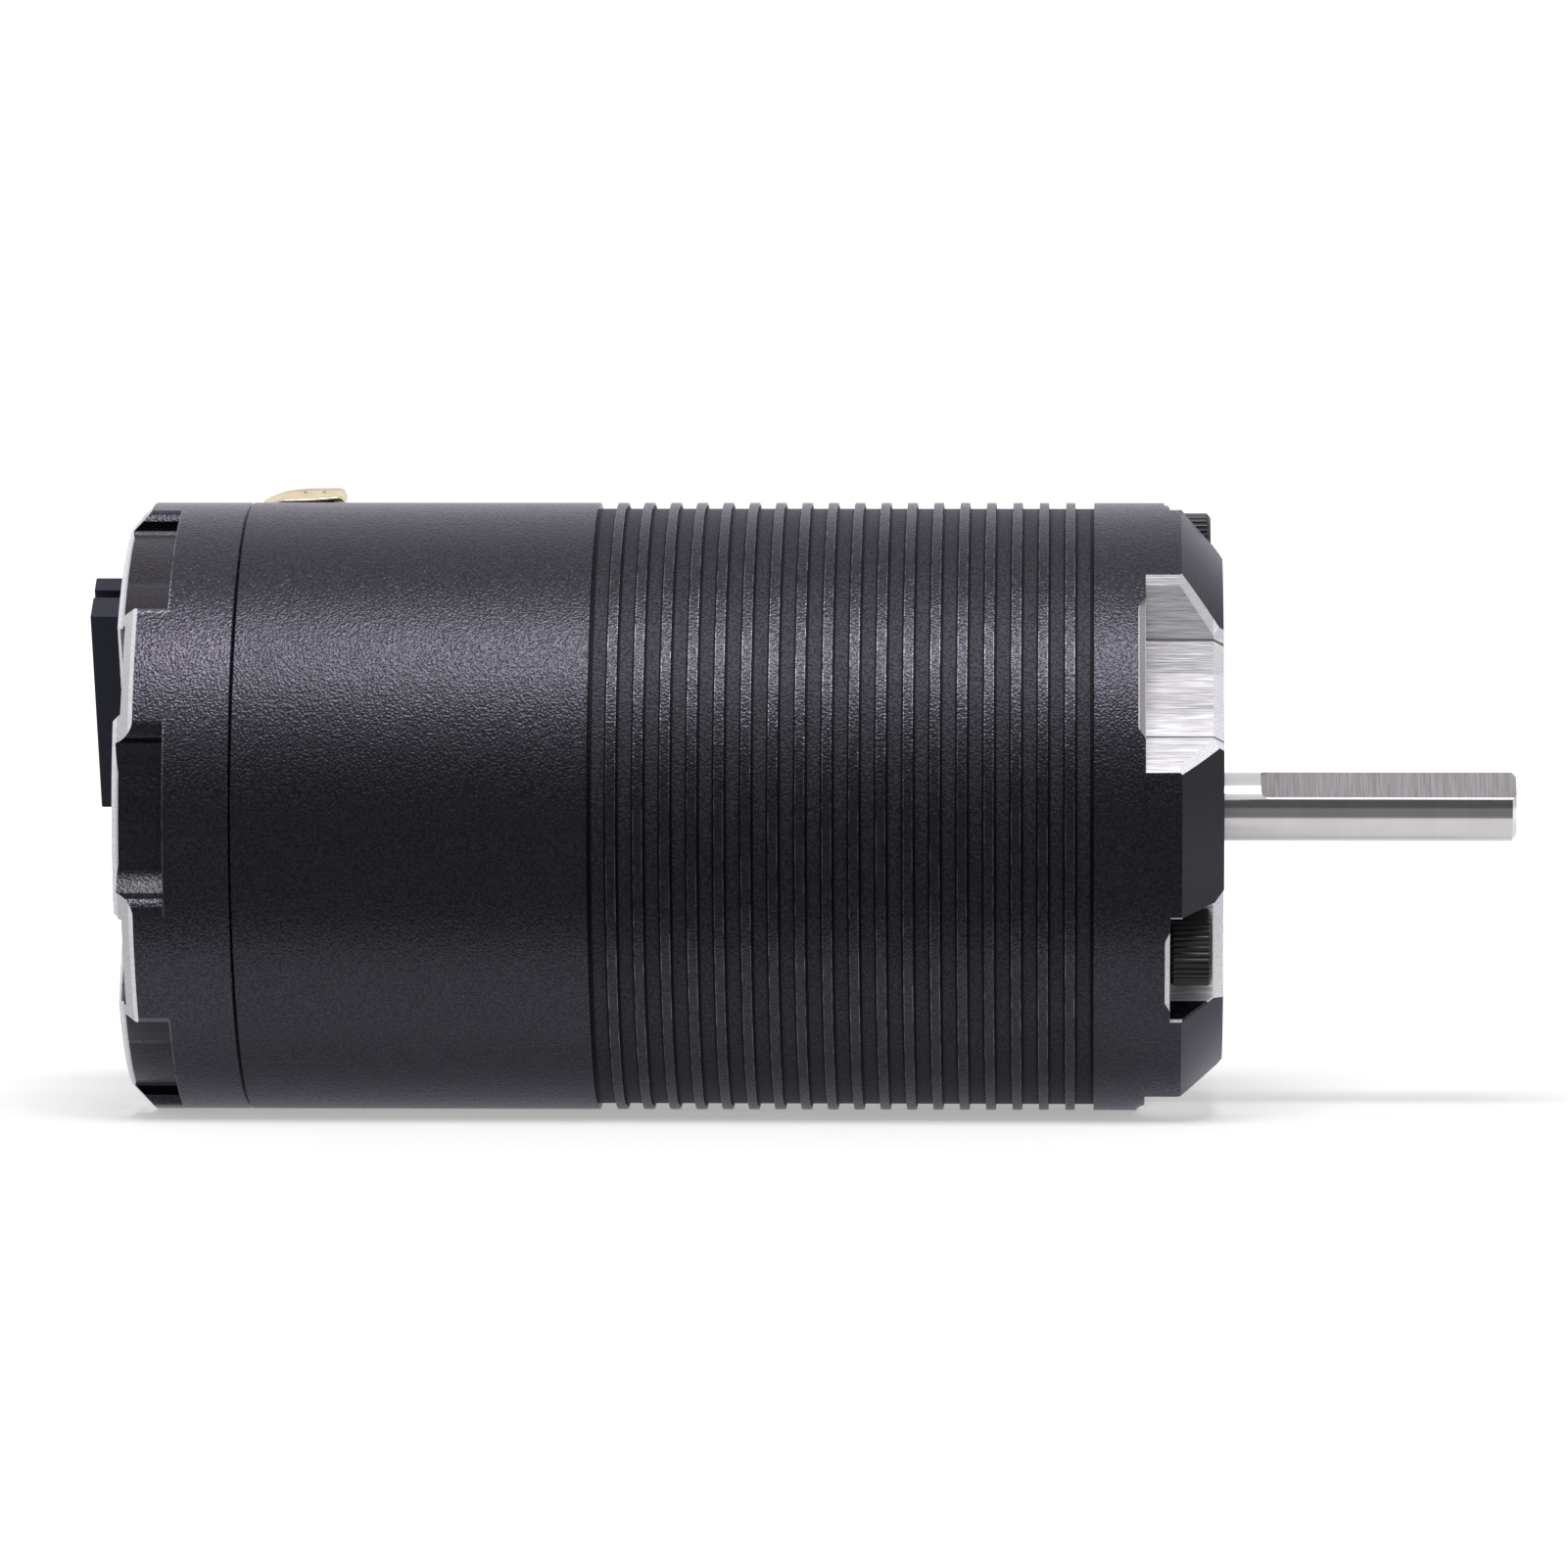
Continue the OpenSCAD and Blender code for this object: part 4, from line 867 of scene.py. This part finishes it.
# The sensor socket, in metres
SOCKET_ANGLE = 150
SOCKET_R = 16.0 * MM
SOCKET_TOP_ASIDE = -7.95 * MM
SOCKET_LOW_ASIDE = 8.7 * MM
SOCKET_T = 5.5 * MM
SOCKET_WALL = 1.0 * MM
SOCKET_DEPTH = 5.0 * MM
SOCKET_EDGE = 0.12 * MM
SLOT_W = 1.0 * MM
SLOT_RISE = 0.5 * MM
CUT_OVER = 0.5 * MM


def sensor_socket(material):
    """The socket for the sensor lead: a box open at the back, with a slot in each end wall."""
    low_r = SOCKET_R - SOCKET_T / 2
    high_r = SOCKET_R + SOCKET_T / 2
    slot_low_r = SOCKET_R + SLOT_RISE - SLOT_W / 2
    mouth_x = socket_low.x - CUT_OVER
    floor_x = socket_low.x + SOCKET_DEPTH
    piece = block(
        "sensor_socket_shell", SOCKET_ANGLE,
        (socket_low.x, SOCKET_TOP_ASIDE, low_r), (socket_high.x, SOCKET_LOW_ASIDE, high_r), material)
    mouth = block(
        "mouth", SOCKET_ANGLE, (mouth_x, SOCKET_TOP_ASIDE + SOCKET_WALL, low_r + SOCKET_WALL),
        (floor_x, SOCKET_LOW_ASIDE - SOCKET_WALL, high_r - SOCKET_WALL), material)
    slots = block(
        "slots", SOCKET_ANGLE, (mouth_x, SOCKET_TOP_ASIDE - CUT_OVER, slot_low_r),
        (floor_x, SOCKET_LOW_ASIDE + CUT_OVER, slot_low_r + SLOT_W), material)
    carve(piece, [mouth, slots])
    round_edges(piece, SOCKET_EDGE)
    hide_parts("sensor_socket")
    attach(piece, "housing")


# The solder tabs: lengths in metres, and shares of a cup's length or width
TAB_ANGLES = {"solder_tab_a": 108, "solder_tab_b": 150, "solder_tab_c": 192}
TAB_SHIFT = -0.66 * MM
TAB_MIDDLE_X = (tab_low.x + tab_high.x) / 2 + TAB_SHIFT
TAB_L = 6.15 * MM
TAB_LOW_ASIDE = -2.3 * MM
TAB_HIGH_ASIDE = 1.6 * MM
TAB_SHEET = 0.24 * MM
TAB_RISE = 2.16 * MM
TAB_REAR_DROP_SHARE = 0.43
TAB_REAR_POWER = 4.4
TAB_FRONT_DROP_SHARE = 0.2
TAB_FRONT_POWER = 40
TAB_TILT = 0.3 * MM
TAB_LIP = 0.14 * MM
TAB_LIP_CUT_SHARE = 0.7
TAB_LIP_START_SHARE = 0.3
TAB_NOSE_START_SHARE = 0.9
TAB_NOSE_CUT_SHARES = (0.2, 0.12)
TAB_STEPS = 28
TAB_ACROSS_STEPS = 14
INSULATOR_H = 0.2 * MM
SEAT_ALONG_SHARES = (0.14, 0.88)
SEAT_ACROSS_SHARES = (0.12, 0.93)
SEAT_STEPS = 12


def shares(steps, start=0.0, end=1.0):
    return [start + (end - start) * i / steps for i in range(steps + 1)]


def cup_height(along, across):
    """How far the cup's sheet rises, with both shares from 0 to 1: a low near lip and a high far wall."""
    climb = 1 - TAB_REAR_DROP_SHARE * (1 - along) ** TAB_REAR_POWER
    climb -= TAB_FRONT_DROP_SHARE * along ** TAB_FRONT_POWER
    lip = TAB_LIP * (1 - across) ** 3 + TAB_TILT * along ** 3 * (1 - across)
    return lip + TAB_RISE * climb * across ** 2


def cup_sides(along):
    """Where the cup's near and far edges lie across it, as shares of its width."""
    rear = TAB_LIP_CUT_SHARE * max(0.0, 1 - along / TAB_LIP_START_SHARE) ** 2
    front = max(0.0, (along - TAB_NOSE_START_SHARE) / (1 - TAB_NOSE_START_SHARE)) ** 3
    near_cut, far_cut = TAB_NOSE_CUT_SHARES
    return rear + near_cut * front, 1 - far_cut * front


def under_cup(along, across):
    """How far the cup's underside lies from the shaft's axis."""
    return BODY_R + INSULATOR_H + cup_height(along, across)


def tab_point(angle, along, across, out):
    """A point of a tab, given by its shares along and across it and its distance from the shaft's axis."""
    x = TAB_MIDDLE_X + (along - 0.5) * TAB_L
    aside = TAB_LOW_ASIDE + (TAB_HIGH_ASIDE - TAB_LOW_ASIDE) * across
    return into_place(angle, x, aside, out)


def solder_cup(name, angle, material):
    """A solder tab: a stamped cup with its low lip to the front, over its insulator."""
    grid = [
        [(along, across) for across in shares(TAB_ACROSS_STEPS, *cup_sides(along))]
        for along in shares(TAB_STEPS)]
    inner, outer = [
        [[tab_point(angle, *place, under_cup(*place) + lift) for place in row] for row in grid]
        for lift in (0.0, TAB_SHEET)]
    piece = solid_between(f"{name}_cup", inner, outer, material, smooth=True)
    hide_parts(name)
    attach(piece, "housing")


def tab_insulator(angle, material):
    """The insulator under a solder tab: let into the can below, and shaped to the cup above."""
    let_in_r = BODY_R - TAB_HIGH_ASIDE ** 2 / BODY_R
    grid = [
        [(along, across) for across in shares(SEAT_STEPS, *SEAT_ACROSS_SHARES)]
        for along in shares(SEAT_STEPS, *SEAT_ALONG_SHARES)]
    bottom = [[tab_point(angle, *place, let_in_r) for place in row] for row in grid]
    top = [[tab_point(angle, *place, under_cup(*place)) for place in row] for row in grid]
    piece = solid_between(f"tab_insulator_{angle}", bottom, top, material, smooth=False)
    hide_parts("tab_insulators")
    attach(piece, "housing")


# Floor, light and camera, in metres and degrees
FLOOR_SIZE = 6.0
FLOOR_GREY = (0.8, 0.8, 0.8)
FLOOR_GLOW = 0.40
FLOOR_NEAR = 0.05
FLOOR_FAR = 0.14
WHITE = (1.0, 1.0, 1.0)
FILL = 0.30
KEY_ANGLE = 61.0
KEY_DISTANCE = 0.7
KEY_L = 0.30
KEY_W = 0.26
KEY_POWER = 3.0
BODY_MIDDLE_X = -0.03
CARD_GREY = (0.31, 0.31, 0.31)
CARD_DISTANCE = 1.0
CARD_W = 1.6
CARD_HIGH_ANGLE = 24.0
CARD_NEAR_Y = -0.031
CARD_LIFT = 0.5 * MM
CAMERA_TARGET = Vector((-31.7, 0.0, 1.6)) * MM
CAMERA_X = -9.3 * MM
CAMERA_DISTANCE = 0.748
CAMERA_RISE = 2.6
CAMERA_LENS = 236.8
CAMERA_SENSOR = 36.0


def seen_white(nodes):
    """1 for camera, glossy and transmission rays."""
    paths = nodes.tree.nodes.new("ShaderNodeLightPath").outputs
    seen = nodes.either(paths["Is Camera Ray"], paths["Is Glossy Ray"])
    return nodes.either(seen, paths["Is Transmission Ray"])


def make_world():
    """White for the rays that see it, and a plain soft light on the object."""
    world = bpy.data.worlds.new("studio")
    world.use_nodes = True
    nodes = Nodes(world.node_tree)
    background = world.node_tree.nodes["Background"]
    nodes.set(background.inputs["Color"], (*WHITE, 1.0))
    nodes.set(background.inputs["Strength"], nodes.scale(seen_white(nodes), FILL, 1.0))
    bpy.context.scene.world = world


def make_floor():
    """A pale floor that glows for the rays that see it, faintly near the motor, so that its shadow shows."""
    bpy.ops.mesh.primitive_plane_add(size=FLOOR_SIZE, location=(0.0, 0.0, cad_box[0].z))
    floor = bpy.context.object
    floor.name = "floor"
    s = Shader("pale_floor")
    distance = s.vector("DISTANCE", s.place, (BODY_MIDDLE_X / MM, 0.0, 0.0))
    glow = s.scale(s.fade(distance, FLOOR_NEAR / MM, FLOOR_FAR / MM), FLOOR_GLOW, 1.0)
    floor.data.materials.append(s.finish(
        base_color=FLOOR_GREY,
        roughness=0.9,
        specular_ior_level=0.1,
        emission_color=WHITE,
        emission_strength=s.times(seen_white(s), glow)))


def make_lamp(name, angle, distance, length, width, power):
    """A soft box over the motor, aimed at it from an angle round the shaft."""
    data = bpy.data.lights.new(name, "AREA")
    data.shape = "RECTANGLE"
    data.size = length
    data.size_y = width
    data.energy = power
    lamp = bpy.data.objects.new(name, data)
    lamp.location = into_place(angle, BODY_MIDDLE_X, 0.0, distance)
    lamp.rotation_euler = (math.pi / 2 - math.radians(angle), 0.0, 0.0)
    bpy.context.scene.collection.objects.link(lamp)


def make_card():
    """A dark card on the camera's side, seen only in reflections, as in a studio."""
    mesh = bmesh.new()
    floor_z = cad_box[0].z + CARD_LIFT
    top_z = CARD_DISTANCE * math.tan(math.radians(CARD_HIGH_ANGLE))
    ends = (BODY_MIDDLE_X - CARD_W / 2, BODY_MIDDLE_X + CARD_W / 2)
    rows = [(CARD_NEAR_Y, floor_z), (-CARD_DISTANCE, floor_z), (-CARD_DISTANCE, top_z)]
    points = [[mesh.verts.new((x, y, z)) for x in ends] for y, z in rows]
    for one, other in zip(points, points[1:]):
        mesh.faces.new((one[0], one[1], other[1], other[0]))
    material = Shader("black_card").finish(base_color=CARD_GREY, roughness=1.0, specular_ior_level=0.0)
    card = new_object("black_card", mesh, material)
    card.visible_camera = False
    card.visible_diffuse = False
    card.visible_shadow = False


def make_camera():
    data = bpy.data.cameras.new("camera")
    data.lens = CAMERA_LENS
    data.sensor_width = CAMERA_SENSOR
    camera = bpy.data.objects.new("camera", data)
    rise = math.radians(CAMERA_RISE)
    camera.location = (CAMERA_X, -CAMERA_DISTANCE * math.cos(rise), CAMERA_DISTANCE * math.sin(rise))
    camera.rotation_euler = (CAMERA_TARGET - camera.location).to_track_quat("-Z", "Y").to_euler()
    bpy.context.scene.collection.objects.link(camera)
    bpy.context.scene.camera = camera


make_camera()
make_world()
make_floor()
make_lamp("key_lamp", KEY_ANGLE, KEY_DISTANCE, KEY_L, KEY_W, KEY_POWER)
make_card()
bpy.context.scene.view_settings.view_transform = "Standard"

finishes = dress_nodes()
for screw_angle in SCREW_ANGLES:
    through_screw(screw_angle, finishes["through_screws"])
sensor_socket(finishes["sensor_socket"])
for tab_name, tab_angle in TAB_ANGLES.items():
    solder_cup(tab_name, tab_angle, finishes[tab_name])
    tab_insulator(tab_angle, finishes["tab_insulators"])
